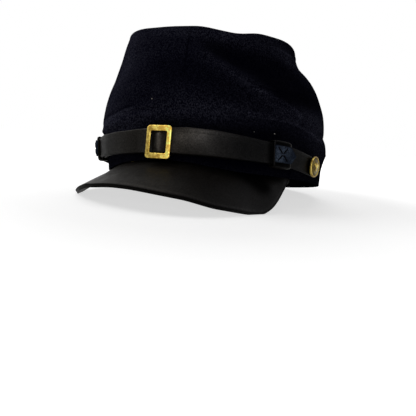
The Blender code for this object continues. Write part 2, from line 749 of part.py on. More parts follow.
def buckle(cap, collection, helpers):
    """A flat frame in front of the strap and a bar behind it, joined above and below the strap."""
    opening = (BUCKLE_WIDTH - 2 * BUCKLE_SIDE, BUCKLE_HEIGHT - 2 * BUCKLE_RAIL, BUCKLE_OPENING_CORNER)
    outlines = ((BUCKLE_WIDTH, BUCKLE_HEIGHT, BUCKLE_CORNER), opening)
    mesh = plate("buckle", outlines, BUCKLE_THICKNESS, BUCKLE_BEVEL)
    made = add("buckle", mesh, "brass", cap, collection)
    strap_back = outer_offset(BUCKLE_ANGLE)
    face = strap_back + STRAP_LEATHER + BUCKLE_PLAY
    height = strap_height(BUCKLE_ANGLE) - BUCKLE_DROP
    stand_on(made, BUCKLE_ANGLE, face, height, BUCKLE_TILT)

    bar_front = face - strap_back + GAP
    width, _ = between(STRAP_ROWS, BUCKLE_ANGLE)
    post_from = width / 2 + BUCKLE_DROP + GAP
    post = BUCKLE_HEIGHT / 2 - BUCKLE_POST_INSET - post_from
    reach = bar_front + BUCKLE_BAR_THICKNESS + BUCKLE_THICKNESS / 2
    pieces = [
        ((BUCKLE_BAR_WIDTH, BUCKLE_BAR_THICKNESS, 2 * (post_from + post)),
         (0, bar_front + BUCKLE_BAR_THICKNESS / 2, 0)),
    ]
    for side in (-1, 1):
        centre = (0, reach / 2 - BUCKLE_THICKNESS / 2, side * (post_from + post / 2))
        pieces.append(((BUCKLE_BAR_WIDTH * BUCKLE_POST_SCALE, reach, post * BUCKLE_POST_SCALE), centre))
    for i, (size, centre) in enumerate(pieces):
        helper = add(f"buckle_bar_{i}", block(f"buckle_bar_{i}", size, centre), None, cap, helpers)
        hide(stand_on(helper, BUCKLE_ANGLE, face, height, BUCKLE_TILT))
        boolean(made, helper, "UNION")
    return made


def keeper(side, degrees, cap, collection):
    """A leather loop round both layers of the strap, bent with the band: a tube with solid walls."""
    name = f"keeper_{side}"
    front = OUTER_OFFSET + STRAP_LEATHER + 2 * GAP
    half = KEEPER_HEIGHT / 2 - KEEPER_WALL
    corner = KEEPER_CORNER
    ring = []
    for quarter in range(4):
        out_side = 1 if quarter in (0, 3) else -1
        up_side = 1 if quarter in (0, 1) else -1
        for step in range(KEEPER_CORNER_STEPS + 1):
            turn = math.pi / 2 * (quarter + step / KEEPER_CORNER_STEPS)
            edge = front if out_side > 0 else KEEPER_BACK + KEEPER_WALL
            out = edge - out_side * corner + corner * math.cos(turn)
            ring.append((out, up_side * (half - corner) + corner * math.sin(turn)))
    spread = math.degrees(KEEPER_LENGTH / (BAND_HALF_WIDTH + front)) / 2
    rows = []
    for r in range(KEEPER_ROWS + 1):
        angle = math.radians(degrees + spread * (2 * r / KEEPER_ROWS - 1))
        rows.append([wall(angle, out, strap_height(degrees) + up) for out, up in ring])
    made = add(name, loft(name, rows[::-1], closed=True), "strap_leather", cap, collection)
    solidify(made, KEEPER_WALL, 1.0)
    return made


def tab(side, degrees, cap, collection):
    """The pointed end that is sewn down on a keeper. Its point is towards the button."""
    name = f"tab_{side}"
    toward = 1 if side == "left" else -1
    out = OUTER_OFFSET + STRAP_LEATHER + 2 * GAP + KEEPER_WALL + GAP + TAB_THICKNESS / 2
    radius = BAND_HALF_WIDTH + out
    length = TAB_LENGTH + TAB_POINT
    rows = []
    for r in range(TAB_ROWS + 1):
        at = length * r / TAB_ROWS
        half = TAB_HEIGHT / 2 * min(1, (length - at) / TAB_POINT + TAB_TIP)
        angle = math.radians(degrees) + toward * (TAB_FROM + at) / radius
        heights = [strap_height(degrees) + half * c for c in (-1, -0.5, 0, 0.5, 1)]
        rows.append([wall(angle, out, height) for height in heights])
    made = add(name, loft(name, rows), "tab_leather", cap, collection)
    solidify(made, TAB_THICKNESS, 0.0)
    return made


def button(side, cap, collection):
    """A domed button with a raised rim, and the shank that holds it through the strap and the band."""
    degrees = BUTTON_ANGLE if side == "left" else -BUTTON_ANGLE
    seat = INNER_OFFSET + STRAP_LEATHER + GAP
    shank_end = -(seat + WOOL + BUTTON_SHANK_REACH)
    profile = []
    for i in range(BUTTON_DOME_STEPS + 1):
        turn = math.pi / 2 * i / BUTTON_DOME_STEPS
        radius = (BUTTON_RADIUS - BUTTON_RIM) * math.sin(turn)
        profile.append((radius, BUTTON_DOME_FOOT + (BUTTON_DOME - BUTTON_DOME_FOOT) * math.cos(turn)))
    profile += [(BUTTON_RADIUS + inward, height) for inward, height in BUTTON_RIM_PROFILE]
    profile += [(BUTTON_SHANK, 0.0), (BUTTON_SHANK, shank_end), (0.0, shank_end)]
    made = turned(f"button_{side}", profile, BUTTON_STEPS, "brass", cap, collection)
    return stand_on(made, degrees, seat, strap_height(degrees), math.pi / 2)


def button_holes(pieces, cap, helpers):
    """Cuts the holes that the shanks pass through."""
    for degrees in (BUTTON_ANGLE, -BUTTON_ANGLE):
        mesh = bpy.data.meshes.new("shank_hole")
        shape = bmesh.new()
        bmesh.ops.create_cone(
            shape,
            cap_ends=True,
            segments=16,
            radius1=BUTTON_HOLE,
            radius2=BUTTON_HOLE,
            depth=HOLE_CUTTER,
        )
        shape.to_mesh(mesh)
        shape.free()
        side = "left" if degrees > 0 else "right"
        hole = hide(add(f"shank_hole_{side}", mesh, None, cap, helpers))
        stand_on(hole, degrees, 0, strap_height(degrees), math.pi / 2)
        boolean(pieces["band"], hole)
        boolean(pieces["strap_inner" if degrees > 0 else "strap_outer"], hole)


def floor_cut(pieces, helpers):
    """The table presses a small flat into the wool and leather that rests on it."""
    mesh = block("table", (TABLE, TABLE, TABLE / 10), (0, 0, -TABLE / 20))
    table = hide(add("table", mesh, None, None, helpers))
    for name in ("band", "peak"):
        boolean(pieces[name], table)


def rest_matrix():
    """Turns the cap so that the lowest place of each half of the peak and the back of the band come level."""
    back = wall(math.pi, 0, 0)
    up = Vector((0, 0, 1))
    turns = [math.radians(degrees) for degrees in range(*PEAK_CORNER_RANGE)]
    for _ in range(REST_PASSES):
        left = min((peak_edge(turn) for turn in turns), key=up.dot)
        right = min((peak_edge(-turn) for turn in turns), key=up.dot)
        left.z -= PEAK_UNDER_LEFT
        right.z -= PEAK_UNDER_RIGHT
        up = (left - back).cross(right - back).normalized()
        up *= math.copysign(1, up.z)
    turn = up.rotation_difference(Vector((0, 0, 1))).to_matrix().to_4x4()
    lift = Vector((0, 0, -(turn @ back).z - REST_PRESS))
    return Matrix.Translation(REST_SHIFT + lift) @ turn


def main():
    for old in list(bpy.data.objects):
        bpy.data.objects.remove(old)
    collection = bpy.data.collections.new("kepi_cap")
    helpers = bpy.data.collections.new("cutters")
    bpy.context.scene.collection.children.link(collection)
    bpy.context.scene.collection.children.link(helpers)

    cap = bpy.data.objects.new("cap", None)
    collection.objects.link(cap)
    cap.matrix_world = rest_matrix()

    pieces = {
        "crown_body": crown_body(cap, collection),
        "crown_top": crown_top(cap, collection),
        "band": band(cap, collection),
        "peak": peak(cap, collection),
        "strap_outer": strap_outer(cap, collection),
        "strap_inner": strap_inner(cap, collection),
    }
    buckle(cap, collection, helpers)
    for place in KEEPERS:
        keeper(place.side, place.angle, cap, collection)
        tab(place.side, place.angle, cap, collection)
        button(place.side, cap, collection)
    button_holes(pieces, cap, helpers)
    floor_cut(pieces, helpers)
    bpy.context.view_layer.update()


main()
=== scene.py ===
import math
from collections import namedtuple

import bmesh
import bpy
import numpy as np
from mathutils import Matrix, Vector


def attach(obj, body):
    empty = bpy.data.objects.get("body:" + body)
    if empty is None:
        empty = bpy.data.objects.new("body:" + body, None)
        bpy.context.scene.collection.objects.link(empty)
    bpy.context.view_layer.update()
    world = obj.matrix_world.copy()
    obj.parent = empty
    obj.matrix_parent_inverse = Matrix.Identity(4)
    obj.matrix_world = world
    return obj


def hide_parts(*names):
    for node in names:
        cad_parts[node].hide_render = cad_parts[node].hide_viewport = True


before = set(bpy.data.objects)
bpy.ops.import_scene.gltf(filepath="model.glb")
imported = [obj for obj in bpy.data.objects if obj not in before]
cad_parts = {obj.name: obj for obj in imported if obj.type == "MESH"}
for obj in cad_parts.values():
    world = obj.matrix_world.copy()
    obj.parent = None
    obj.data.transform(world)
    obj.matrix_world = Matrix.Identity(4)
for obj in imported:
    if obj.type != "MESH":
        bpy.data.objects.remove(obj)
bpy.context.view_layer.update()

MM = 0.001
Profile = namedtuple("Profile", "height outside")
Sag = namedtuple("Sag", "angle drop")
Wave = namedtuple("Wave", "angle spread rise")
Swell = namedtuple("Swell", "angle swell crest")
Line = namedtuple("Line", "name angle_a up_a angle_b up_b half_width strength")
Share = namedtuple("Share", "angle share")
PeakRow = namedtuple("PeakRow", "turn arch lift fullness")
StrapRow = namedtuple("StrapRow", "angle width middle")
Keeper = namedtuple("Keeper", "side angle lip_tone")
PaintedBrassLight = namedtuple("PaintedBrassLight", "name axis toward start reach tone")
Lint = namedtuple("Lint", "angle up size")
Lamp = namedtuple("Lamp", "name azimuth elevation watts")

# Angles run round the cap in degrees as seen from above: 0 is the front, 90 the wearer's left, 180 the back.
# The cap is made upright about its band, whose lower edge is z = 0, and then laid as it rests. Named sizes
# are in metres, and the lengths in tables in millimetres.

BAND_HALF_LENGTH = 102 * MM
BAND_HALF_WIDTH = 88 * MM
BAND_EXPONENT = 2.1
BAND_HEIGHT = 39 * MM
BAND_ROWS = (
    Profile(0, 0),
    Profile(13, 0),
    Profile(19.5, 0.1),
    Profile(26, 0.3),
    Profile(30, 3.0),
    Profile(34.5, 4.2),
    Profile(39, 3.2),
)
BAND_SAGS = (
    Sag(0, 0),
    Sag(100, 0),
    Sag(250, 1.5),
    Sag(290, 3.8),
    Sag(318, 3.2),
    Sag(348, 0),
    Sag(360, 0),
)
SEAM_SAGS = (
    Sag(0, 2.2),
    Sag(20, 1.2),
    Sag(34, 2.2),
    Sag(60, 0.3),
    Sag(110, 0),
    Sag(240, 0),
    Sag(290, 3.4),
    Sag(322, 6.4),
    Sag(338, 6.2),
    Sag(360, 2.2),
)
BAND_BULGE = (
    Profile(0, 0.3),
    Profile(13, 1.2),
    Profile(19.5, 2.6),
    Profile(26, 4.4),
    Profile(30, 1.5),
    Profile(34.5, -0.4),
    Profile(39, -1.6),
)
BULGE_SHARES = (
    Share(0, 0),
    Share(88, 0),
    Share(104, 1),
    Share(124, 1),
    Share(156, 0),
    Share(360, 0),
)
FOOT_RISE = 3.9 * MM
FOOT_RISE_ANGLE = 10
FOOT_RISE_TO_LEFT = 34
FOOT_RISE_TO_RIGHT = 44
FOOT_RISE_TO = 13 * MM
SEAM_SAG_FROM = 24 * MM
SEAM_FOOT = 1.5 * MM
LEAN = 0.17
LEAN_HEIGHT = 15.5 * MM
WOOL = 2.6 * MM
GAP = 0.3 * MM

RIM_RADIUS = 70.5 * MM
RIM_HEIGHT = 111 * MM
RIM_FORWARD = 22 * MM
RIM_DIP = math.radians(8.7)
RIM_LEFT_DIP = math.radians(6)
RIM_WAVES = (
    Wave(-12, 15, -0.8),
    Wave(20, 9, 0.9),
    Wave(40, 26, -1.5),
    Wave(42, 8, -0.6),
    Wave(56, 9, 0.9),
    Wave(75, 28, 1.5),
)
RIM_PULLS = (
    Wave(-50, 16, 1.3),
    Wave(110, 24, -2.8),
)
SHOULDER = 6 * MM
TOP_LIP = 1.5 * MM
TOP_SINK = 7 * MM
WALL_HEIGHT = RIM_HEIGHT - BAND_HEIGHT
MEAN_RADIUS = (BAND_HALF_WIDTH + RIM_RADIUS) / 2

SWELLS = (
    Swell(0, 3.6, 0.45),
    Swell(45, 4, 0.40),
    Swell(84, 4.6, 0.34),
    Swell(106, 6.6, 0.44),
    Swell(130, 8, 0.38),
    Swell(180, 14, 0.35),
    Swell(270, 8, 0.40),
    Swell(330, 1.6, 0.34),
    Swell(360, 3.6, 0.45),
)
# A line runs from a to b and fades away beside it over its half width. A fold's up is a share of the crown's
# height, and its strength is how far it stands out.
FOLDS = (
    Line("ridge to the left", 24, 0.74, 65, 0.11, 8, 3.4),
    Line("valley above the ridge", 32, 0.80, 82, 0.38, 12, -6.0),
    Line("fold under the rim", 66, 0.92, 78, 0.80, 5, 2.0),
    Line("notch under that fold", 74, 0.80, 118, 0.84, 7, -2.9),
    Line("dent in front", 4, 0.52, 16, 0.40, 15, -3.0),
    Line("soft corner of the rim", 88, 0.93, 124, 0.93, 6, -1.2),
    Line("dent at the right", -44, 0.62, -20, 0.60, 12, -3.0),
    Line("slump at the back", 140, 0.62, 220, 0.60, 10, -4.0),
)
FOLD_FADE_FOOT = 0.12
FOLD_FADE_RIM = 0.06

# Shade lines paint light and shade into the colour. On the wool: painted highlights on crests, creases, the
# band's lip and the sides that face the light; painted shade in valleys, the dent, under the strap and buckle
# and in the strap's shadow; and dark seam lines. On the strap and peak: painted highlights and shadows.
# A shade's up is a length: above the band's seam, above the middle of the strap, or from the peak's root
# towards its edge, where the angle is the peak's own turn. Its strength is the power of e that lightens it.
WOOL_SHADES = (
    Line("crest of the ridge", 26, 49, 65, 1, 8.1, 1.17),
    Line("valley above the ridge", 32, 66, 72, 25, 9.4, -0.67),
    Line("floor of the valley", 42, 40, 50, 61, 20.7, -0.74),
    Line("end of the valley", 58, 18, 83, 23, 8.4, -1.21),
    Line("upper side of the valley", 64, 51, 106, 12, 7.6, -0.82),
    Line("dent in front", -9, 8, 31, 54, 12.1, -0.36),
    Line("deepest part of the dent", 3, 42, 26, 25, 8.7, -0.32),
    Line("side at the right", -32, 9, -35, 73, 26, 0.99),
    Line("top of that side", -46, 49, 15, 52, 7.1, 0.13),
    Line("swell under the dent", -7, 18, 29, 2, 8.4, 0.33),
    Line("swell at the left", 74, 5, 107, 4, 23.9, 1.45),
    Line("fold under the rim", 38, 75, 88, 56, 13.1, 1.24),
    Line("rim in front", -10, 76, 32, 71, 6.2, 0.83),
    Line("band at the right", -37, -13, -9, -10, 11.1, 1.13),
    Line("band above the buckle", 2, -5, 40, 2, 6.6, 0.70),
    Line("band at the left", 77, -9, 48, -5, 3.9, 0.30),
    Line("under the swell at the left", 52, 26, 81, -25, 9, -1.01),
    Line("under the strap", 30, -27, 63, -7, 8.6, -1.05),
    Line("below the buckle", -6, -32, 44, -32, 6.5, -0.7),
    Line("shadow of the strap", 12, -31, 66, -32, 5, -1.2),
    Line("crest line", 36, 34, 46.5, 20.7, 1.4, 0.35),
    Line("crest line, sharper", 46.5, 20.7, 69.5, 3.7, 1.2, 0.65),
    Line("crease under the rim", 67, 65.9, 106, 65.9, 1.5, 0.70),
    Line("seam at the right", -60, 2.6, -6, 2.2, 1.4, -0.75),
    Line("lip at the right", -60, 0.6, -6, 0.4, 1.2, 0.65),
    Line("lip at the left", 43, -0.3, 68, -1.3, 1.0, 0.85),
    Line("lip at the far left", 68, -1.3, 92, -6.6, 1.2, 0.70),
    Line("seam at the back", 120, 0.3, 290, 0.3, 1.3, -0.7),
)
# Painted light on the strap: painted highlights over the buckle's bar and beside the buckle, a lighter upper
# edge past the buckle, and painted shade beside the bend, round the keepers and where the strap turns away.
STRAP_SHADES = (
    Line("turned away at the right", -52, 0, -26, 0, 12, -1.2),
    Line("under the far loop", -62, -7, -39, -7, 4, -1.2),
    Line("left of the buckle", -22, 0, -6, 0, 10, -0.2),
    Line("painted highlight beside the buckle", 17, 2.5, 24, 3, 6.5, 1.15),
    Line("lighter upper edge past the buckle", 20, 7, 36, 7, 3, 0.45),
    Line("bend over the bar", 7.8, -6, 7.8, 6, 1.2, 1.75),
    Line("beside the bend", 5.2, -6, 5.2, 6, 1.0, -0.5),
    Line("other side of the bend", 10.6, -6, 10.6, 6, 1.0, -0.6),
    Line("before the keeper", 40, 0, 48, 0, 9, -0.45),
    Line("along the keeper's edge", 52.6, -9, 52.2, 9, 1.2, -1.8),
    Line("beyond the keeper", 70, 0, 92, 0, 12, -1.1),
)
# Painted shadows on the peak under the keeper and the buckle and along its root, and painted shade over its
# left half and middle.
PEAK_SHADES = (
    Line("hollow under the keeper", 60, -1, 67.5, 12, 5.5, -2.4),
    Line("shadow of the keeper", 54, -1, 76, 3, 6, -0.9),
    Line("root", 16, -1, 60, -1, 3.5, -0.6),
    Line("under the buckle", 2, 1, 15, 1, 5.5, -1.6),
    Line("left half", -14, 27, 0, 31, 15, -0.36),
    Line("middle", 8, 26, 34, 24, 12, -0.26),
)
MOST_SHADE = 2.0

# The angles of the wool's meshes, twice as close in front and at the left.
COLUMNS = np.concatenate([np.arange(-50, 125, 0.75), np.arange(125, 310, 1.5)])
FOOT_ROWS = 2
CROWN_ROWS = 84
CROWN_RIPPLE = 0.35 * MM
FRONT_SEAM = 14.5
FRONT_SEAM_FOOT = 0.3
FRONT_SEAM_FADE = 0.3
FRONT_SEAM_WIDTH = 0.75 * MM
FRONT_SEAM_DEPTH = 0.35 * MM
FRONT_SEAM_TONE = -0.9
FOOT_TUCK_IN = 1.3 * MM
FOOT_TUCK_DOWN = 1.0 * MM
SHOULDER_ROWS = 9
LIP_TUCK_IN = 1.1 * MM
LIP_TUCK_DOWN = 0.9 * MM
TOP_RIPPLE = 0.3 * MM
TOP_MIDDLE = 0.02
BAND_EASE = 8 * MM
BAND_BEVEL = 1.2 * MM
LINT = (
    Lint(2.5, 6.1, 0.42),
    Lint(46, -11.2, 0.30),
    Lint(55.5, -10.6, 0.42),
)

PEAK_ANGLE = 66
PEAK_HALF_WIDTH = 82 * MM
PEAK_ASIDE = 1.5 * MM
PEAK_ROOT = 46 * MM
PEAK_REACH = 92 * MM
PEAK_SIDE_POWER = 0.8
PEAK_FRONT_POWER = 1.35
PEAK_MIDDLE_DROP = 16.6 * MM
PEAK_CORNER_DROP = 25.2 * MM
PEAK_DROP_POWER = 1.6
PEAK_LEFT_RISE_FROM = 62.5
PEAK_RIGHT_RISE_FROM = 36
PEAK_TWIST = 2.4 * MM
PEAK_TWIST_FADE = 0.3
PEAK_SHAPE = (
    PeakRow(-90, 0, 0, 0),
    PeakRow(-77, -0.1, -0.5, -0.2),
    PeakRow(-61, -0.1, -0.5, 0.5),
    PeakRow(-45, -0.4, -0.9, 1.1),
    PeakRow(-27, -0.5, -1.1, -1.0),
    PeakRow(-10, 1.0, 0.3, -1.2),
    PeakRow(8, 2.6, 1.4, -0.7),
    PeakRow(26, 2.6, 1.4, -0.8),
    PeakRow(43, 0.3, -0.2, -0.8),
    PeakRow(57, 0, -0.4, -0.6),
    PeakRow(70, 2.7, 0.5, 2.0),
    PeakRow(80, 2.0, -0.3, 1.0),
    PeakRow(90, 0, 0, 0),
)
PEAK_LEATHER = 2.8 * MM
PEAK_UNDER_LEFT = 1.7 * MM
PEAK_UNDER_RIGHT = 2.5 * MM
PEAK_MOST = 87.5
PEAK_BEVEL = 0.5 * MM
PEAK_EDGE_ROWS = np.array((8, 6, 4.8, 4, 3.4, 3.0, 2.6, 2.2, 1.8, 1.2, 0.6, 0)) * MM
PEAK_EDGE_SHARE = 0.4
# Near the peak's cut edge: dark within PEAK_RIM, partly its burnished edge and partly painted shade; a
# painted highlight line PEAK_LINE in from the edge; and its two ends painted almost black as shade.
PEAK_RIM = 1.0 * MM
PEAK_RIM_TONE = -1.3
PEAK_LINE = 1.9 * MM
PEAK_LINE_WIDTH = 1.2 * MM
PEAK_LINE_TONE = 0.35
PEAK_END_TONE = 0.02

STRAP_ROWS = (
    StrapRow(-90, 14.3, 10.6),
    StrapRow(-81, 14.5, 12.0),
    StrapRow(-60, 14.8, 14.5),
    StrapRow(-43, 15.0, 15.6),
    StrapRow(-30, 15.3, 15.5),
    StrapRow(-20, 15.1, 14.4),
    StrapRow(-10, 15.6, 14.3),
    StrapRow(0, 16.2, 15.3),
    StrapRow(8, 16.4, 15.7),
    StrapRow(18, 17.6, 16.4),
    StrapRow(30, 16.9, 16.2),
    StrapRow(40, 15.8, 15.5),
    StrapRow(50, 14.6, 14.9),
    StrapRow(64, 14.6, 14.5),
    StrapRow(81, 14.6, 11.6),
    StrapRow(90, 14.4, 10.2),
)
STRAP_LEATHER = 1.8 * MM
INNER_OFFSET = 2.3 * MM
OUTER_OFFSET = 4.6 * MM
BUTTON_ANGLE = 81
STRAP_END = 6.5 * MM
STRAP_END_BLUNT = 0.12
OVERLAP_EASE = 8
STRAP_PAST_KEEPER = 2.5
STRAP_PAST_BUTTON = 4
STRAP_STEP = 1.0
STRAP_END_STEP = 0.3
STRAP_END_SPAN = 5
STRAP_BUCKLE_STEP = 0.25
# The strap's cross-section: how far in from its edge, and how far under its face. The upper border is set off
# by a pressed line, and the lower edge is burnished round.
STRAP_UPPER = (
    (0, 0.9), (0.15, 0.4), (0.45, 0.1), (0.9, 0), (2.0, -0.04), (2.7, 0),
    (3.1, 0.06), (3.4, 0.16), (3.75, 0.08), (4.3, 0.03), (6.2, 0),
)
STRAP_LOWER = ((0, 0.9), (0.15, 0.4), (0.5, 0.1), (1.0, 0), (2.2, 0), (4.2, 0), (6.2, 0))
STRAP_BACK = ((0.12, 1.35), (0.4, 1.7), (0.9, 1.8), (6.0, 1.8))

BUCKLE_ANGLE = 7.8
BUCKLE_TILT = math.radians(-10)
BUCKLE_WIDTH = 17.9 * MM
BUCKLE_HEIGHT = 21.9 * MM
BUCKLE_DROP = 1.4 * MM
BUCKLE_SIDE = 3.1 * MM
BUCKLE_RAIL = 3.8 * MM
BUCKLE_THICKNESS = 1.6 * MM
BUCKLE_CORNER = 2.4 * MM
BUCKLE_INNER_CORNER = 0.8 * MM
BUCKLE_ROUNDNESS = 0.55
BUCKLE_LIFT = 2.6 * MM
BUCKLE_LIFT_SPREAD = 11
BUCKLE_HUMP = 1.3 * MM
BUCKLE_HUMP_SPREAD = 2.6
BUCKLE_HUMP_EDGE = 0.75
BUCKLE_PLAY = 0.4 * MM
BUCKLE_POST_INSET = 0.5 * MM
BUCKLE_INNER_TWIST = 0.5
BUCKLE_BAR_WIDTH = 3.0 * MM
BUCKLE_BAR_THICKNESS = 1.3 * MM
BUCKLE_BAR_EDGE = 0.25 * MM
# Painted reflections and shade on the buckle's brass, brighter or duller beyond a start along its own X, Y or
# Z
# axis, 0 to 2: its bars and rails as their reflections differ, and its back painted dark as shade.
BUCKLE_PAINTED_LIGHT = (
    PaintedBrassLight("bar towards the wearer's left", 0, 1, 4, 2, 0.6),
    PaintedBrassLight("bar towards the wearer's right", 0, -1, 4, 2, -0.2),
    PaintedBrassLight("upper rail", 2, 1, 6, 2, 0.08),
    PaintedBrassLight("lower rail", 2, -1, 6, 2, -0.2),
    PaintedBrassLight("back", 1, 1, -1.1, 0.6, -1.2),
)

KEEPER_LENGTH = 14.6 * MM
KEEPER_HEIGHT = 18.6 * MM
KEEPER_WALL = 1.2 * MM
KEEPER_BACK = 0.7 * MM
KEEPER_FRONT = OUTER_OFFSET + STRAP_LEATHER + 2 * GAP
KEEPER_CORNER = 0.8 * MM
# The keepers' lip tones and the tones below are painted light and shade: lips lighter on the near keeper and
# darker on the far one, the front dark between its ends as shade round the tab, and the inside darker.
KEEPERS = (Keeper("left", 58, 2.1), Keeper("right", -43, 0.3))
KEEPER_TURNED_IN = (0.55, 0.2, 0.05, 0, 0, 0, 0, 0, 0, 0, 0.05, 0.2, 0.55)
KEEPER_EDGE_TONE = -2.2
KEEPER_EDGE_SPREAD = 0.22
KEEPER_INSIDE = 0.3
KEEPER_SQUEEZE = 0.7 * MM
KEEPER_SQUEEZE_SPREAD = 5.5
TAB_LENGTH = 12.6 * MM
TAB_POINT = 4.8 * MM
TAB_FROM = -6.9 * MM
TAB_HEIGHT = 11.4 * MM
TAB_THICKNESS = 1.0 * MM
TAB_TIP = 0.04
TAB_EDGE_DROP = 0.12 * MM
TAB_REACH_BACK = GAP + 0.1 * MM
TAB_BEVEL = 0.3 * MM
TAB_TONE = 0.1
TAB_EDGE_TONE = -1.0
THREAD_RADIUS = 0.46 * MM
THREAD_MIDDLE = 5.4 * MM
THREAD_ALONG = 3.9 * MM
THREAD_UP = 4.4 * MM
THREAD_SINK = 0.25 * MM
THREAD_LIFT = 0.1 * MM
THREAD_RUNS = ((-1.0, -0.08), (0.08, 1.0))

BUTTON_RADIUS = 7.9 * MM
BUTTON_RIM = 1.5 * MM
BUTTON_DOME = 3.2 * MM
BUTTON_DOME_FOOT = 1.6 * MM
BUTTON_SHANK = 1.5 * MM
BUTTON_SHANK_END = 1.5 * MM
BUTTON_SIDES = 72
BUTTON_RELIEF = 0.42 * MM
BUTTON_FIELD_FADE = 0.8 * MM
BUTTON_GROOVE = 1.0 * MM
# The rolled rim: how far out of the field, or in from the outside, and how far up.
BUTTON_RIM_IN = ((0.15, 1.75), (0.35, 2.2), (0.65, 2.42))
BUTTON_RIM_OUT = ((0.5, 2.4), (0.2, 2.25), (0, 1.9), (0, 1.3), (0, 0.8), (0.4, 0.35), (0.9, 0.1))
BUTTON_RIM_SHADES = (0.3, 0.5, 0.68)
BUTTON_FIELD_TONE = -1.7
BUTTON_EMBLEM_TONE = 2.0
BUTTON_GROOVE_TONE = -1.2

REST_PRESS = 0.8 * MM
TABLE_CLEAR = 0.01 * MM
REST_SHIFT = Vector((0.85, 14.0, 0)) * MM

# The camera stands in the upright cap's own frame, out from a point on the cap's axis.
CAMERA_AZIMUTH = math.radians(28.01)
CAMERA_ELEVATION = math.radians(-5.917)
CAMERA_DISTANCE = 369.6 * MM
CAMERA_AIM = Vector((0, 0, 20)) * MM
CAMERA_YAW = math.radians(-0.734)
CAMERA_PITCH = math.radians(7.528)
CAMERA_ROLL = math.radians(-5.083)
CAMERA_LENS = 35.0
CAMERA_SENSOR = 36
CAMERA_NEAREST = 0.01

FLOOR_REACH = 12.0
LAMP_DISTANCE = 1.4
LAMP_SIZE = 0.9
LAMP_AIM = Vector((0, 0, 60)) * MM
LAMPS = (
    Lamp("key", -65, 40, 7.3),
    Lamp("front panel", 25, 4, 4.3),
    Lamp("left rim", -110, 10, 1.2),
    Lamp("right rim", 115, 30, 0.7),
    Lamp("top", 0, 85, 1.5),
    Lamp("back panel", 200, 32, 6.5),
    Lamp("back right", -125, 60, 2.0),
)
ROOM_LIGHT = 0.02
MIRRORED_LIGHT = 0.6
FLOOR_NEAR = 0.16
FLOOR_FAR = 0.40
FLOOR_GLOW = 0.64
FLOOR_DARK = (0.62, 0.62, 0.62)
FLOOR_LIGHT = (0.64, 0.64, 0.64)
WHITE = (1, 1, 1, 1)

FIBRE_SLANT = math.radians(-38)
FIBRE_STRETCH = 0.6
WOOL_DARK = (0.0003, 0.0003, 0.0010)
WOOL_LIGHT = (0.0140, 0.0142, 0.0198)
WOOL_BLUE = (0.0, 0.0, 0.0026)
WOOL_SHEEN = (0.55, 0.56, 0.72, 1)
LEATHER_WARMTH = (1.0, 0.88, 0.74)
LEATHER_COOLNESS = (0.88, 0.90, 1.0)
LEATHER_COOL_FROM = 20 * MM
LEATHER_COOL_TO = 65 * MM
BRASS_BRIGHT = (0.94, 0.70, 0.165)
BRASS_STAINED = (0.44, 0.275, 0.048)
BRASS_SPOT = (0.24, 0.15, 0.05)
THREAD_DARK = (0.0004, 0.0004, 0.0006)
THREAD_LIGHT = (0.0030, 0.0030, 0.0036)
LINT_DARK = (0.20, 0.19, 0.17)
LINT_LIGHT = (0.55, 0.52, 0.47)


def smooth(x):
    x = np.clip(x, 0.0, 1.0)
    return x * x * (3 - 2 * x)


def signed_power(value, exponent):
    return np.sign(value) * np.abs(value) ** exponent


def stack(x, y, z):
    return np.stack(np.broadcast_arrays(x, y, z), axis=-1).astype(float)


def eased(rows, at):
    """The other columns of the table where its first column is this, eased from row to row."""
    keys = np.array([row[0] for row in rows], float)
    values = np.array([row[1:] for row in rows], float)
    at = np.asarray(at, float)
    i = np.clip(np.searchsorted(keys, at, side="right") - 1, 0, len(keys) - 2)
    share = smooth((at - keys[i]) / (keys[i + 1] - keys[i]))[..., None]
    return values[i] + (values[i + 1] - values[i]) * share


def eased_round(rows, angle):
    """The second column of a table that goes once round the cap."""
    return eased(rows, np.mod(angle, 360))[..., 0]


def between(rows, at, column):
    """This column of the table where its first column is this, on a straight line from row to row."""
    values = np.array(rows, float)
    return np.interp(at, values[:, 0], values[:, column])


def turn_from(angle, middle):
    """The turn from the middle to this angle, from -180 to 180."""
    return np.mod(np.asarray(angle) - middle + 180, 360) - 180


def wave_at(rows, angle):
    total = 0.0
    for row in rows:
        turn = turn_from(angle, row.angle) / row.spread
        total = total + row.rise * MM * np.exp(-turn * turn)
    return total


def lines_at(rows, angle, up, unit):
    """The strengths of the lines at this place, summed. Their up, and this one, are in this unit."""
    total = 0.0 * angle + 0.0 * up
    for row in rows:
        x = np.radians(turn_from(angle, row.angle_a)) * MEAN_RADIUS
        y = (up - row.up_a) * unit
        run_x = math.radians(row.angle_b - row.angle_a) * MEAN_RADIUS
        run_y = (row.up_b - row.up_a) * unit
        share = np.clip((x * run_x + y * run_y) / (run_x**2 + run_y**2), 0, 1)
        away = ((x - run_x * share) ** 2 + (y - run_y * share) ** 2) / (row.half_width * MM) ** 2
        total = total + row.strength * np.exp(-away)
    return total


def folds_at(angle, height):
    fade = smooth(height / FOLD_FADE_FOOT) * smooth((1 - height) / FOLD_FADE_RIM)
    return lines_at(FOLDS, angle, height, WALL_HEIGHT) * MM * fade


def shade_at(rows, angle, up):
    """The painted light and shade of a surface at this angle and this far up from the shades' base line."""
    return np.exp(np.clip(lines_at(rows, angle, up / MM, MM), -MOST_SHADE, MOST_SHADE))


def direction(azimuth, elevation):
    across = math.cos(elevation)
    return Vector((math.sin(azimuth) * across, -math.cos(azimuth) * across, math.sin(elevation)))


# ---------------- forms


def oval(angle, offset=0.0):
    turn = np.radians(angle)
    power = 2 / BAND_EXPONENT
    x = (BAND_HALF_WIDTH + offset) * signed_power(np.sin(turn), power)
    y = -(BAND_HALF_LENGTH + offset) * signed_power(np.cos(turn), power)
    return stack(x, y, 0.0)


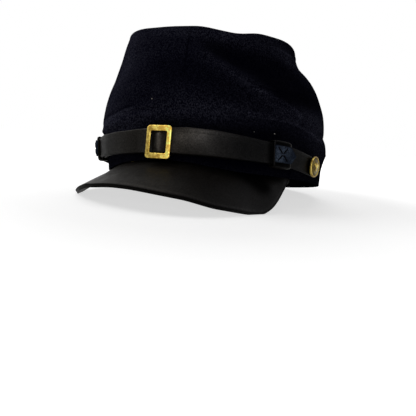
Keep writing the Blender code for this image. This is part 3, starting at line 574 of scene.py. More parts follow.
def outward(angle):
    along = oval(np.asarray(angle) + 0.05) - oval(np.asarray(angle) - 0.05)
    along /= np.linalg.norm(along, axis=-1, keepdims=True)
    return stack(along[..., 1], -along[..., 0], 0.0)


def wall(angle, offset, height):
    """A point this far outside the band's oval at this height. The wall leans about the lean height."""
    sag = eased_round(BAND_SAGS, angle) * MM
    return oval(angle, offset) + stack(0.0, LEAN * (LEAN_HEIGHT - height), height - sag)


def foot_rise(angle, height=0.0):
    """How far the peak's seam is drawn up in front, and less and less of the band above it."""
    away = turn_from(angle, FOOT_RISE_ANGLE)
    share = 1 - np.maximum(away / FOOT_RISE_TO_LEFT, -away / FOOT_RISE_TO_RIGHT)
    return FOOT_RISE * smooth(share) * np.clip(1 - height / FOOT_RISE_TO, 0, 1)


def band_wall(angle, outside, height):
    bulge = between(BAND_BULGE, height / MM, 1) * MM * eased_round(BULGE_SHARES, angle)
    share = smooth((height - SEAM_SAG_FROM) / (BAND_HEIGHT - SEAM_SAG_FROM))
    dip = eased_round(SEAM_SAGS, angle) * MM * share
    return wall(angle, outside + bulge, height - dip + foot_rise(angle, height))


def rim_point(angle, radius, rise=0.0):
    turn = np.radians(angle)
    drawn = radius + wave_at(RIM_PULLS, angle) * radius / RIM_RADIUS
    flat = stack(drawn * np.sin(turn), -drawn * np.cos(turn), rise + wave_at(RIM_WAVES, angle))
    tip = np.array(Matrix.Rotation(RIM_DIP, 3, "X") @ Matrix.Rotation(RIM_LEFT_DIP, 3, "Y"))
    return flat @ tip.T + np.array((0, -RIM_FORWARD, RIM_HEIGHT))


def peak_edge(turn):
    radians = np.radians(turn)
    side = signed_power(np.sin(radians), PEAK_SIDE_POWER)
    front = np.maximum(np.cos(radians), 0) ** PEAK_FRONT_POWER
    drop = PEAK_MIDDLE_DROP + (PEAK_CORNER_DROP - PEAK_MIDDLE_DROP) * np.abs(side) ** PEAK_DROP_POWER
    rise_from = np.where(np.asarray(turn) > 0, PEAK_LEFT_RISE_FROM, PEAK_RIGHT_RISE_FROM)
    drop = drop * (1 - smooth((np.abs(turn) - rise_from) / (90 - rise_from)))
    twist = PEAK_TWIST * side * smooth(front / PEAK_TWIST_FADE)
    sag = eased_round(BAND_SAGS, PEAK_ANGLE * np.asarray(turn) / 90) * MM
    _, lift, fullness = np.moveaxis(eased(PEAK_SHAPE, turn) * MM, -1, 0)
    x = PEAK_HALF_WIDTH * side + PEAK_ASIDE + fullness * np.sin(radians)
    y = -(PEAK_ROOT + PEAK_REACH * front + fullness * np.cos(radians))
    return stack(x, y, lift - drop - twist - sag)


def rest_matrix():
    """Lays the upright cap on the two lowest corners of its peak and the back of its band."""
    back = Vector(wall(180.0, 0, 0))
    up = Vector((0, 0, 1))
    turns = np.arange(20.0, 90.0)
    for _ in range(3):
        left = Vector(min(peak_edge(turns), key=lambda point: up.dot(Vector(point))))
        right = Vector(min(peak_edge(-turns), key=lambda point: up.dot(Vector(point))))
        left.z -= PEAK_UNDER_LEFT
        right.z -= PEAK_UNDER_RIGHT
        up = (left - back).cross(right - back).normalized()
        up *= math.copysign(1, up.z)
    turn = up.rotation_difference(Vector((0, 0, 1))).to_matrix().to_4x4()
    lift = Vector((0, 0, -(turn @ back).z - REST_PRESS))
    return Matrix.Translation(REST_SHIFT + lift) @ turn


REST = rest_matrix()


# ---------------- meshes


def grid_mesh(name, points, closed_u=False, closed_v=False):
    """A mesh over a grid of points, rows by columns. closed_u joins each row's ends, and closed_v joins the
    last row to the first."""
    rows, columns = points.shape[:2]
    index = np.arange(rows * columns).reshape(rows, columns)
    if closed_v:
        index = np.concatenate([index, index[:1]], 0)
    if closed_u:
        index = np.concatenate([index, index[:, :1]], 1)
    faces = np.stack([index[:-1, :-1], index[:-1, 1:], index[1:, 1:], index[1:, :-1]], -1).reshape(-1, 4)
    mesh = bpy.data.meshes.new(name)
    mesh.from_pydata(points.reshape(-1, 3).tolist(), [], faces.tolist())
    return mesh


def shape_of(*meshes):
    shape = bmesh.new()
    for mesh in meshes:
        shape.from_mesh(mesh)
    return shape


def keep_shape(shape, mesh):
    """Puts the shape in this mesh, with its faces turned outward."""
    bmesh.ops.recalc_face_normals(shape, faces=shape.faces)
    shape.to_mesh(mesh)
    shape.free()
    return mesh


def close_ends(mesh, count, both=True):
    """Closes a grid that has this many points in a row with a face over its last row, or over both ends."""
    shape = shape_of(mesh)
    corners = list(shape.verts)
    if both:
        shape.faces.new(corners[:count][::-1])
    shape.faces.new(corners[-count:])
    keep_shape(shape, mesh)


def set_shade(mesh, values):
    layer = mesh.attributes.new("shade", "FLOAT", "POINT")
    layer.data.foreach_set("value", np.ascontiguousarray(values, dtype=np.float32).ravel())


def add_object(name, data):
    made = bpy.data.objects.new(name, data)
    bpy.context.scene.collection.objects.link(made)
    return made


def add_piece(name, mesh, finish, node, thickness=0.0, bevel=0.0, matrix=Matrix()):
    """A piece of the cap, made upright, then laid as the cap rests and flattened where it meets the table."""
    made = add_object(name, mesh)
    if thickness:
        solid = made.modifiers.new("thickness", "SOLIDIFY")
        solid.thickness = thickness
        solid.offset = -1.0
        solid.use_even_offset = True
    if bevel:
        edge = made.modifiers.new("edge", "BEVEL")
        edge.width = bevel
        edge.segments = 3
        edge.limit_method = "ANGLE"
        edge.angle_limit = math.radians(50)
    if thickness or bevel:
        bpy.context.view_layer.update()
        graph = bpy.context.evaluated_depsgraph_get()
        made.data = bpy.data.meshes.new_from_object(made.evaluated_get(graph))
        made.modifiers.clear()
    made.data.transform(REST @ matrix)
    places = np.empty(len(made.data.vertices) * 3)
    made.data.vertices.foreach_get("co", places)
    places[2::3] = np.maximum(places[2::3], TABLE_CLEAR)
    made.data.vertices.foreach_set("co", places)
    made.data.shade_smooth()
    made.data.materials.clear()
    made.data.materials.append(finish)
    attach(made, "root")
    if node:
        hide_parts(node)


def stand_on(degrees, out, height, turn=0.0):
    """The matrix that stands a thing on the band, its X along the strap, its -Y outward and its Z up."""
    normal = outward(degrees)
    place = Vector(wall(degrees, 0, height) + normal * out)
    tilt = Matrix.Rotation(math.atan(-LEAN * normal[1]) + turn, 4, "X")
    return Matrix.Translation(place) @ Matrix.Rotation(math.atan2(normal[0], -normal[1]), 4, "Z") @ tilt


# ---------------- materials


class Nodes:
    """Short words for making nodes. An input takes a number, a colour or another node's output."""

    def __init__(self, tree):
        self.tree = tree

    def put(self, socket, value):
        if isinstance(value, bpy.types.NodeSocket):
            self.tree.links.new(value, socket)
        else:
            socket.default_value = value

    def add(self, kind, inputs, **settings):
        made = self.tree.nodes.new("ShaderNode" + kind)
        for key, value in settings.items():
            setattr(made, key, value)
        for key, value in inputs.items():
            self.put(made.inputs[key], value)
        return made

    def math(self, operation, a, b):
        return self.add("Math", {0: a, 1: b}, operation=operation).outputs[0]

    def remap(self, value, low, high, to_low=0.0, to_high=1.0):
        ends = {"From Min": low, "From Max": high, "To Min": to_low, "To Max": to_high}
        return self.add("MapRange", {"Value": value, **ends}).outputs["Result"]

    def white_room(self):
        """1 for the camera, less for what a shiny surface mirrors, and 0 for the light on the cap."""
        path = self.add("LightPath", {})
        mirrored = self.math("MULTIPLY", path.outputs["Is Glossy Ray"], MIRRORED_LIGHT)
        return self.math("MAXIMUM", path.outputs["Is Camera Ray"], mirrored)


class Surface(Nodes):
    """A material, from its object's own coordinates to its shader."""

    def __init__(self, name):
        self.material = bpy.data.materials.new(name)
        self.material.use_nodes = True
        super().__init__(self.material.node_tree)
        self.place = self.add("TexCoord", {}).outputs["Object"]

    def noise(self, scale, detail=2.0, roughness=0.5, distortion=0.0, vector=None):
        inputs = {"Scale": scale, "Detail": detail, "Roughness": roughness, "Distortion": distortion}
        return self.add("TexNoise", {"Vector": vector or self.place, **inputs}).outputs["Fac"]

    def mix(self, share, dark, light):
        dark, light = ((*side, 1) if isinstance(side, tuple) else side for side in (dark, light))
        return self.add("Mix", {"Factor": share, "A": dark, "B": light}, data_type="RGBA").outputs["Result"]

    def shade(self):
        """The tone that the mesh carries here: painted light and shade, dark seams, and on the buttons their
        patina.
        """
        return self.add("Attribute", {}, attribute_name="shade").outputs["Fac"]

    def scaled(self, colour, share):
        return self.add("VectorMath", {0: colour, "Scale": share}, operation="SCALE").outputs["Vector"]

    def bump(self, height, distance, strength, under=None):
        inputs = {"Height": height, "Distance": distance, "Strength": strength}
        if under:
            inputs["Normal"] = under
        return self.add("Bump", inputs).outputs["Normal"]

    def finish(self, **inputs):
        """Sets inputs of the shader, whose names have _ for each space here."""
        for key, value in inputs.items():
            self.put(self.tree.nodes["Principled BSDF"].inputs[key.replace("_", " ")], value)
        return self.material


def wool_material():
    """Short napped wool: fine fibres that lie aslant, with painted light and shade, lighter on the crests of
    its folds and darker in their valleys and under the strap.
    """
    made = Surface("wool_cloth")
    turned = {"Vector": made.place, "Rotation": (0.0, FIBRE_SLANT, 0.0), "Scale": (1.0, 1.0, FIBRE_STRETCH)}
    slant = made.add("Mapping", turned).outputs["Vector"]
    fibres = made.noise(scale=1650, detail=2, roughness=0.6, distortion=0.6, vector=slant)
    fine = made.noise(scale=2300, detail=2, roughness=0.6)
    felt = made.noise(scale=1150, detail=2, roughness=0.6)
    nap = made.math("ADD", made.math("MULTIPLY", fibres, 0.6), made.math("MULTIPLY", felt, 0.4))
    # The wool's tone is scaled by the painted light and shade that its mesh carries, then a blue dye is
    # added.
    tone = made.scaled(made.mix(made.remap(nap, 0.44, 0.60), WOOL_DARK, WOOL_LIGHT), made.shade())
    dye_and_painted_light = made.add("VectorMath", {0: tone, 1: WOOL_BLUE}, operation="ADD").outputs["Vector"]
    raised = made.bump(nap, distance=0.6 * MM, strength=0.8)
    raised = made.bump(fine, distance=0.2 * MM, strength=0.8, under=raised)
    return made.finish(Base_Color=dye_and_painted_light, Roughness=1.0, Specular_IOR_Level=0.0, Sheen_Weight=0.002,
                       Sheen_Roughness=0.6, Sheen_Tint=WOOL_SHEEN, Normal=raised)


def leather_material(name, dark, light, rough, grain, depth, specular, speckle):
    """Leather whose colour and shine both follow the painted light and shade that its mesh carries,
    with random patches of tone and a fine grain of lighter and darker specks.
    """
    made = Surface(name)
    wear_and_painted_light = made.remap(made.noise(scale=60, detail=4, roughness=0.6), 0.35, 0.7)
    specks = made.noise(scale=grain * 1.1, detail=2, roughness=0.6)
    shade = made.math("MULTIPLY", made.shade(), made.remap(specks, 0.36, 0.66, 1 - speckle, 1 + speckle))
    rubbed = made.remap(made.noise(scale=180, detail=3), 0.3, 0.7, rough - 0.05, rough + 0.08)
    left = made.add("SeparateXYZ", {0: made.place}).outputs["X"]
    tint = made.mix(made.remap(left, LEATHER_COOL_FROM, LEATHER_COOL_TO), LEATHER_WARMTH, LEATHER_COOLNESS)
    pores = made.add("TexVoronoi", {"Vector": made.place, "Scale": grain}).outputs["Distance"]
    raised = made.bump(pores, distance=depth, strength=0.6)
    creases = made.noise(scale=grain * 0.4, detail=4, roughness=0.6)
    raised = made.bump(creases, distance=depth * 1.5, strength=0.6, under=raised)
    colour = made.scaled(made.mix(wear_and_painted_light, dark, light), shade)
    made.finish(Base_Color=colour, Roughness=rubbed, Specular_Tint=tint, Normal=raised)
    made.finish(Specular_IOR_Level=specular)
    return made.finish(Specular_IOR_Level=made.math("MULTIPLY", shade, specular))


def brass_material():
    made = Surface("aged_brass")
    stain = made.noise(scale=260, detail=5, roughness=0.65)
    spots = made.noise(scale=900, detail=3, roughness=0.6)
    tone = made.mix(made.remap(stain, 0.42, 0.58), BRASS_BRIGHT, BRASS_STAINED)
    tone = made.mix(made.remap(spots, 0.55, 0.7, 0.0, 0.6), tone, BRASS_SPOT)
    # Scaled by the tone its mesh carries: painted reflections and shade on the buckle, patina on the buttons.
    return made.finish(Base_Color=made.scaled(tone, made.shade()), Metallic=1.0,
                       Roughness=made.remap(stain, 0.35, 0.7, 0.22, 0.42),
                       Normal=made.bump(spots, distance=0.16 * MM, strength=0.7))


def thread_material():
    made = Surface("black_thread")
    twist = made.noise(scale=2600)
    return made.finish(Base_Color=made.mix(twist, THREAD_DARK, THREAD_LIGHT), Roughness=0.75,
                       Specular_IOR_Level=0.02, Normal=made.bump(twist, distance=0.1 * MM, strength=0.5))


def lint_material():
    made = Surface("pale_lint")
    fluff = made.mix(made.noise(scale=4000), LINT_DARK, LINT_LIGHT)
    return made.finish(Base_Color=fluff, Roughness=1.0, Specular_IOR_Level=0.0)


def floor_material():
    """A dull floor that glows white for the camera. Its glow is dimmer near the cap, a painted soft shade
    round it, where the lamps' own soft shadow also falls.
    """
    made = Surface("pale_floor")
    away = made.add("VectorMath", {0: made.place}, operation="LENGTH").outputs["Value"]
    glow = made.remap(away, FLOOR_NEAR, FLOOR_FAR, FLOOR_GLOW, 1.0)
    return made.finish(Base_Color=made.mix(made.noise(scale=3), FLOOR_DARK, FLOOR_LIGHT), Roughness=1.0,
                       Specular_IOR_Level=0.0, Emission_Color=WHITE,
                       Emission_Strength=made.math("MULTIPLY", glow, made.white_room()))


WOOL_CLOTH = wool_material()
PEAK_LOOK = leather_material(
    "peak_smooth_leather", dark=(0.0024, 0.0020, 0.0016), light=(0.0052, 0.0043, 0.0034),
    rough=0.45, grain=1100, depth=0.08 * MM, specular=0.115, speckle=0.25)
STRAP_LOOK = leather_material(
    "strap_grained_leather", dark=(0.0020, 0.0017, 0.0014), light=(0.0048, 0.0041, 0.0034),
    rough=0.42, grain=1300, depth=0.12 * MM, specular=0.115, speckle=0.4)
TAB_LOOK = leather_material(
    "tab_worn_leather", dark=(0.016, 0.022, 0.037), light=(0.078, 0.101, 0.146),
    rough=0.7, grain=1000, depth=0.3 * MM, specular=0.02, speckle=0.55)
BRASS = brass_material()
THREAD = thread_material()
LINT_FLUFF = lint_material()


# ---------------- wool


def seam_groove(angle, height):
    """1 along the seam that runs up the crown's front, easing to 0 beside it and at its foot."""
    across = np.radians(angle - FRONT_SEAM) * MEAN_RADIUS / FRONT_SEAM_WIDTH
    return np.exp(-across**2) * smooth((height - FRONT_SEAM_FOOT) / FRONT_SEAM_FADE)


def crown_push(angle, height):
    """How far the crown's side stands out from the straight line between its foot and its rim."""
    turn = np.radians(angle)
    swell, crest = np.moveaxis(eased(SWELLS, np.mod(angle, 360)), -1, 0)
    swell = swell * MM * np.sin(np.pi * height ** (math.log(0.5) / np.log(crest)))
    ripple = np.sin(5 * turn + 9 * height) * np.sin(7 * height + 2 * turn)
    ripple = CROWN_RIPPLE * (ripple + 0.5 * np.sin(17 * turn - 8 * height)) * np.sin(np.pi * height)
    return swell + folds_at(angle, height) + ripple - FRONT_SEAM_DEPTH * seam_groove(angle, height)


def crown_points():
    """The crown's side from its tucked-in foot to the lip of its rim, and its painted light and shade."""
    angle = COLUMNS[None, :]
    height = np.linspace(0, 1, CROWN_ROWS)[:, None]
    foot = band_wall(angle, BAND_ROWS[-1].outside * MM, BAND_HEIGHT) + np.array((0, 0, GAP + SEAM_FOOT))
    head = rim_point(angle, RIM_RADIUS, -SHOULDER)
    push = crown_push(angle, height)
    side = foot + (head - foot) * height[..., None] + outward(angle) * push[..., None]
    under = side[:1] - np.array((0, 0, SEAM_FOOT))
    tucked = under - outward(angle) * FOOT_TUCK_IN - np.array((0, 0, FOOT_TUCK_DOWN))
    bend = np.radians(np.linspace(0, 90, SHOULDER_ROWS + 1)[1:])[:, None]
    shoulder = rim_point(angle, RIM_RADIUS - SHOULDER * (1 - np.cos(bend)), SHOULDER * (np.sin(bend) - 1))
    inward = np.array((TOP_LIP, TOP_LIP + LIP_TUCK_IN))[:, None]
    lip = rim_point(angle, RIM_RADIUS - SHOULDER - inward, np.array((0.0, -LIP_TUCK_DOWN))[:, None])
    rows = [tucked, under, side, shoulder, lip]
    beyond = np.minimum(np.arange(1, SHOULDER_ROWS + len(lip) + 1), SHOULDER_ROWS) * MM
    up = np.concatenate([np.zeros(FOOT_ROWS), height[:, 0] * WALL_HEIGHT, WALL_HEIGHT + beyond])[:, None]
    seam = seam_groove(angle, np.clip(up / WALL_HEIGHT, 0, 1))
    return np.concatenate(rows), shade_at(WOOL_SHADES, angle, up) * np.exp(FRONT_SEAM_TONE * seam)


def top_points():
    angle = COLUMNS[None, :]
    share = np.linspace(1, TOP_MIDDLE, 40)[:, None]
    sink = TOP_SINK * (1 - smooth(share))
    ripple = TOP_RIPPLE * np.sin(3 * np.radians(angle) + 5 * share) * share * (1 - share) * 4
    outer = RIM_RADIUS - SHOULDER - TOP_LIP - 2 * GAP
    return rim_point(angle, outer * share, wave_at(RIM_WAVES, angle) * (share - 1) - sink + ripple)


def band_points():
    """The band's outer face and its painted light and shade. The steps of its profile are eased over a few
    millimetres.
    """
    heights = np.linspace(0, BAND_HEIGHT, 46)
    fine = np.linspace(-BAND_EASE, BAND_HEIGHT + BAND_EASE, 221)
    kernel = np.exp(-(np.linspace(-2, 2, 13) ** 2))
    soft = np.convolve(between(BAND_ROWS, fine / MM, 1) * MM, kernel / kernel.sum(), "same")
    outside = np.interp(heights, fine, soft)[:, None]
    points = band_wall(COLUMNS[None, :], outside, heights[:, None])
    return points, shade_at(WOOL_SHADES, COLUMNS[None, :], heights[:, None] - BAND_HEIGHT)


def wool_piece(name, node, points, shade, middle=False, bevel=0.0):
    mesh = grid_mesh(name, points, closed_u=True)
    if middle:
        close_ends(mesh, len(COLUMNS), both=False)
    set_shade(mesh, shade)
    add_piece(name, mesh, WOOL_CLOTH, node, thickness=WOOL, bevel=bevel)


def lint_piece(crown, band):
    """A few pale specks of lint caught in the nap."""
    shape = bmesh.new()
    side = crown[FOOT_ROWS:FOOT_ROWS + CROWN_ROWS]
    for speck in LINT:
        up, size = speck.up * MM, speck.size * MM
        rows, share = (side, up / WALL_HEIGHT) if up > 0 else (band, 1 + up / BAND_HEIGHT)
        column = int(np.argmin(np.abs(COLUMNS - speck.angle)))
        place = Vector(rows[round(share * (len(rows) - 1)), column] + outward(speck.angle) * 0.3 * size)
        for vertex in bmesh.ops.create_icosphere(shape, subdivisions=2, radius=size)["verts"]:
            x, _, z = vertex.co / size
            vertex.co = place + vertex.co * (1 + 0.25 * math.sin(9 * x + speck.angle) * math.cos(7 * z))
    mesh = keep_shape(shape, bpy.data.meshes.new("lint_specks"))
    add_piece("lint_specks", mesh, LINT_FLUFF, None)


def wool_pieces():
    crown, shade = crown_points()
    wool_piece("crown_cloth", "crown_body", crown, shade)
    top = top_points()
    wool_piece("crown_top_cloth", "crown_top", top, np.ones(top.shape[:2]), middle=True)
    band, shade = band_points()
    wool_piece("band_cloth", "band", band, shade, bevel=BAND_BEVEL)
    lint_piece(crown, band)


wool_pieces()


# ---------------- peak


def peak_piece():
    turn = np.linspace(-PEAK_MOST, PEAK_MOST, 181)
    angle = PEAK_ANGLE * turn / 90
    root = wall(angle, -0.5 * WOOL, foot_rise(angle) - GAP)
    edge = peak_edge(turn)
    length = np.linalg.norm(edge - root, axis=-1)
    most = PEAK_EDGE_ROWS[0]
    inner = 1 - np.minimum(most, length * PEAK_EDGE_SHARE) / length
    rows = [share * inner for share in np.linspace(0, 1, 24)[:-1]]
    rows += [1 - np.minimum(row, length * PEAK_EDGE_SHARE * row / most) / length for row in PEAK_EDGE_ROWS]
    out = np.array(rows)
    arch = eased(PEAK_SHAPE, turn)[..., 0] * MM * 4 * out * (1 - out)
    points = root + (edge - root) * out[..., None] + arch[..., None] * np.array((0, 0, 1.0))
    shade = shade_at(PEAK_SHADES, turn[None, :], out * length)
    # Painted light and shade: dark cut edge, partly shade, a painted highlight line in from it, and ends
    # painted dark.
    from_edge = (1 - out) * length
    shade *= np.exp(PEAK_RIM_TONE * smooth(1 - from_edge / PEAK_RIM))
    shade *= np.exp(PEAK_LINE_TONE * smooth(1 - np.abs(from_edge - PEAK_LINE) / PEAK_LINE_WIDTH))
    shade[:, [0, -1]] *= PEAK_END_TONE
    mesh = grid_mesh("peak_leather_sheet", points[::-1])
    set_shade(mesh, shade[::-1])
    add_piece("peak_leather_sheet", mesh, PEAK_LOOK, "peak", PEAK_LEATHER, PEAK_BEVEL)


peak_piece()


# ---------------- straps


def strap_height(degrees):
    return between(STRAP_ROWS, degrees, 2) * MM


def strap_half(degrees):
    return between(STRAP_ROWS, degrees, 1) / 2 * MM


def near(degrees, centre, spread):
    return smooth(1 - np.abs(degrees - centre) / spread)


def outer_offset(degrees):
    """How far the outer strap is off the band: least at the right button, then over the inner strap, and most
    over the buckle's bar."""
    first = OVERLAP_EASE - BUTTON_ANGLE
    over = smooth((degrees - first) / (KEEPERS[1].angle - OVERLAP_EASE - first))
    lift = BUCKLE_LIFT * near(degrees, BUCKLE_ANGLE, BUCKLE_LIFT_SPREAD)
    return INNER_OFFSET + (OUTER_OFFSET - INNER_OFFSET) * over + lift


def buckle_twist(degrees, across):
    """The strap tips with the buckle, so that its upper edge lies nearer to the band."""
    return math.tan(BUCKLE_TILT) * across * near(degrees, BUCKLE_ANGLE, BUCKLE_LIFT_SPREAD)


def strap_piece(name, node, angles, offset, over, twist):
    """A strap through these angles, this far off the band. over is 1 for the outer strap, whose face the bar
    and the far keeper press, and 0 for the inner one."""
    ring = [(1, *row) for row in STRAP_UPPER] + [(-1, *row) for row in STRAP_LOWER[::-1]]
    ring += [(-1, *row) for row in STRAP_BACK] + [(1, *row) for row in STRAP_BACK[::-1]]
    side, inset, under = np.array(ring).T[:, None, :] * np.array((1, MM, MM))[:, None, None]
    degrees = angles[:, None]
    from_end = np.minimum(degrees - degrees[0], degrees[-1] - degrees) * math.radians(1) * BAND_HALF_WIDTH
    rounding = np.maximum(0, STRAP_END - from_end) / STRAP_END
    full = strap_half(degrees)
    half = full * np.sqrt(np.maximum(STRAP_END_BLUNT, 1 - rounding**2))
    across = side * (half - inset * half / full)
    bulge = BUCKLE_HUMP * near(degrees, BUCKLE_ANGLE, BUCKLE_HUMP_SPREAD)
    bulge = bulge * smooth((BUCKLE_HUMP_EDGE - np.abs(across) / full) / (1 - BUCKLE_HUMP_EDGE))
    squeeze = KEEPER_SQUEEZE * near(degrees, KEEPERS[1].angle, KEEPER_SQUEEZE_SPREAD)
    squeeze = squeeze * (under < STRAP_LEATHER / 3)
    away = offset + STRAP_LEATHER - under + over * (bulge + squeeze) + twist * buckle_twist(degrees, across)
    mesh = grid_mesh(name, wall(degrees + 0 * side, away, strap_height(degrees) + across), closed_u=True)
    close_ends(mesh, len(ring))
    # The strap carries the painted highlights and shade of its table.
    set_shade(mesh, shade_at(STRAP_SHADES, degrees, across))
    add_piece(name, mesh, STRAP_LOOK, node)


def angles_through(*stops):
    """Angles from the first stop to the last. Each stop is an angle, and the step from it to the next one."""
    angles = []
    for (first, step), (last, _) in zip(stops, stops[1:]):
        angles.extend(np.linspace(first, last, max(2, round((last - first) / step) + 1))[:-1])
    return np.array([*angles, stops[-1][0]])


def strap_pieces():
    first = -BUTTON_ANGLE - STRAP_PAST_BUTTON
    last = KEEPERS[0].angle + STRAP_PAST_KEEPER
    lift_from, lift_to = BUCKLE_ANGLE - BUCKLE_LIFT_SPREAD, BUCKLE_ANGLE + BUCKLE_LIFT_SPREAD
    outer = angles_through((first, STRAP_END_STEP), (first + STRAP_END_SPAN, STRAP_STEP),
                           (lift_from, STRAP_BUCKLE_STEP), (lift_to, STRAP_STEP),
                           (last - STRAP_END_SPAN, STRAP_END_STEP), (last, 0))
    strap_piece("strap_outer_leather", "strap_outer", outer, outer_offset(outer)[:, None], 1, 1)
    first = KEEPERS[1].angle - STRAP_PAST_KEEPER
    last = BUTTON_ANGLE + STRAP_PAST_BUTTON
    inner = angles_through((first, STRAP_END_STEP), (first + STRAP_END_SPAN, STRAP_STEP),
                           (last - STRAP_END_SPAN, STRAP_END_STEP), (last, 0))
    strap_piece("strap_inner_leather", "strap_inner", inner, INNER_OFFSET, 0, BUCKLE_INNER_TWIST)


strap_pieces()


# ---------------- keepers and tabs


def rounded_ring(half_out, half_up, radius, steps=5):
    """Points of a rectangle with round corners, (out, up), from the outer side round to the top."""
    points = []
    for sign_out, sign_up, quarter in ((1, 1, 0), (-1, 1, 1), (-1, -1, 2), (1, -1, 3)):
        for step in range(steps + 1):
            turn = math.pi / 2 * (quarter + step / steps)
            out = sign_out * (half_out - radius) + radius * math.cos(turn)
            points.append((out, sign_up * (half_up - radius) + radius * math.sin(turn)))
    return np.array(points)


def keeper_piece(keeper):
    """A loop of leather round both straps, with its edges turned in. Its front is painted dark between its
    two ends, as shade round the tab; its upper and lower sides are painted lighter on the near keeper and
    darker on the far one, and its inside darker than those sides."""
    back = KEEPER_BACK + KEEPER_WALL
    middle = (KEEPER_FRONT + back) / 2
    half_up = KEEPER_HEIGHT / 2 - KEEPER_WALL
    half_out = (KEEPER_FRONT - back) / 2
    inner = rounded_ring(half_out, half_up, KEEPER_CORNER)
    outer = rounded_ring(half_out + KEEPER_WALL, half_up + KEEPER_WALL, KEEPER_CORNER + KEEPER_WALL)
    spread = math.degrees(KEEPER_LENGTH / (BAND_HALF_WIDTH + KEEPER_FRONT)) / 2
    along = np.linspace(-1, 1, len(KEEPER_TURNED_IN))
    painted_front_shade = np.exp(KEEPER_EDGE_TONE * smooth((1 - np.abs(along)) / KEEPER_EDGE_SPREAD))
    rows = []
    shade = []
    for ring_in, ring_out in zip(inner, outer):
        direction_out = (ring_out - ring_in) / KEEPER_WALL
        front_share = max(0.0, direction_out[0]) ** 1.2
        face = keeper.lip_tone + (painted_front_shade - keeper.lip_tone) * front_share
        shade.append(np.concatenate([face, KEEPER_INSIDE * keeper.lip_tone + 0 * along]))
        section = [(a, *(ring_out - direction_out * turned * KEEPER_WALL))
                   for a, turned in zip(along, KEEPER_TURNED_IN)]
        section += [(a, *ring_in) for a in along[::-1]]
        a, out, up = np.array(section).T
        rows.append(wall(keeper.angle + spread * a, middle + out, strap_height(keeper.angle) + up))
    name = f"keeper_{keeper.side}_loop"
    mesh = grid_mesh(name, np.array(rows), closed_u=True, closed_v=True)
    keep_shape(shape_of(mesh), mesh)
    set_shade(mesh, np.array(shade))
    add_piece(name, mesh, STRAP_LOOK, f"keeper_{keeper.side}")


def tab_face(keeper, at, up, out=0.0):
    """A point of the tab, this far along it from its blunt end and this far up, above its middle surface."""
    toward = 1 if keeper.side == "left" else -1
    base = KEEPER_FRONT + KEEPER_WALL + GAP + TAB_THICKNESS / 2
    angle = keeper.angle + toward * np.degrees((TAB_FROM + at) / (BAND_HALF_WIDTH + base))
    return wall(angle, base + out, strap_height(keeper.angle) + up)


def tab_piece(keeper):
    """A pentagon of thicker leather that reaches back to its keeper."""
    length = TAB_LENGTH + TAB_POINT
    at = np.concatenate([np.linspace(0, TAB_LENGTH, 17), np.linspace(TAB_LENGTH, length, 9)[1:]])[:, None]
    half = TAB_HEIGHT / 2 * np.minimum(1, (length - at) / TAB_POINT + TAB_TIP)
    across = np.linspace(-1, 1, 19)[None, :]
    out = TAB_THICKNESS / 2 - TAB_EDGE_DROP * np.abs(across) ** 6
    points = tab_face(keeper, at + 0 * across, half * across, out)
    name = f"tab_{keeper.side}_leather"
    mesh = grid_mesh(name, points if keeper.side == "right" else points[::-1])
    set_shade(mesh, np.exp(TAB_TONE + TAB_EDGE_TONE * np.abs(across) ** 8 + 0 * at))
    add_piece(name, mesh, TAB_LOOK, f"tab_{keeper.side}",
              thickness=TAB_THICKNESS + TAB_REACH_BACK, bevel=TAB_BEVEL)


def tube(points, radius, sides=8):
    """A mesh tube along these points that narrows at its ends."""
    along = np.gradient(points, axis=0)
    along /= np.linalg.norm(along, axis=1, keepdims=True)
    side = np.cross(along, (0.0, 0.0, 1.0))
    side /= np.linalg.norm(side, axis=1, keepdims=True)
    up = np.cross(side, along)
    turn = np.linspace(0, 2 * np.pi, sides, endpoint=False)[:, None]
    last = len(points) - 1
    rows = []
    for i, point in enumerate(points):
        narrow = radius * (0.6 + 0.4 * min(1, min(i, last - i) / last * 8))
        rows.append(point + narrow * (np.cos(turn) * side[i] + np.sin(turn) * up[i]))
    mesh = grid_mesh("tube", np.array(rows), closed_u=True)
    close_ends(mesh, sides)
    return mesh


def tab_thread(keeper):
    """The cross of black thread that sews the tab down."""
    tubes = []
    for slope in (1, -1):
        for first, last in THREAD_RUNS:
            share = np.linspace(first, last, 9)
            out = TAB_THICKNESS / 2 + THREAD_LIFT - THREAD_SINK * np.linspace(-1, 1, 9) ** 4
            points = tab_face(keeper, THREAD_MIDDLE + share * THREAD_ALONG, slope * share * THREAD_UP, out)
            tubes.append(tube(points, THREAD_RADIUS))
    name = f"tab_{keeper.side}_thread"
    add_piece(name, keep_shape(shape_of(*tubes), bpy.data.meshes.new(name)), THREAD, None)


for keeper in KEEPERS:
    keeper_piece(keeper)
    tab_piece(keeper)
    tab_thread(keeper)


# ---------------- brass


def block_mesh(size, centre):
    shape = bmesh.new()
    bmesh.ops.create_cube(shape, size=1.0)
    bmesh.ops.scale(shape, vec=size, verts=shape.verts)
    bmesh.ops.translate(shape, vec=centre, verts=shape.verts)
    bmesh.ops.bevel(shape, geom=shape.edges[:], offset=BUCKLE_BAR_EDGE, segments=2, affect="EDGES")
    return keep_shape(shape, bpy.data.meshes.new("block"))


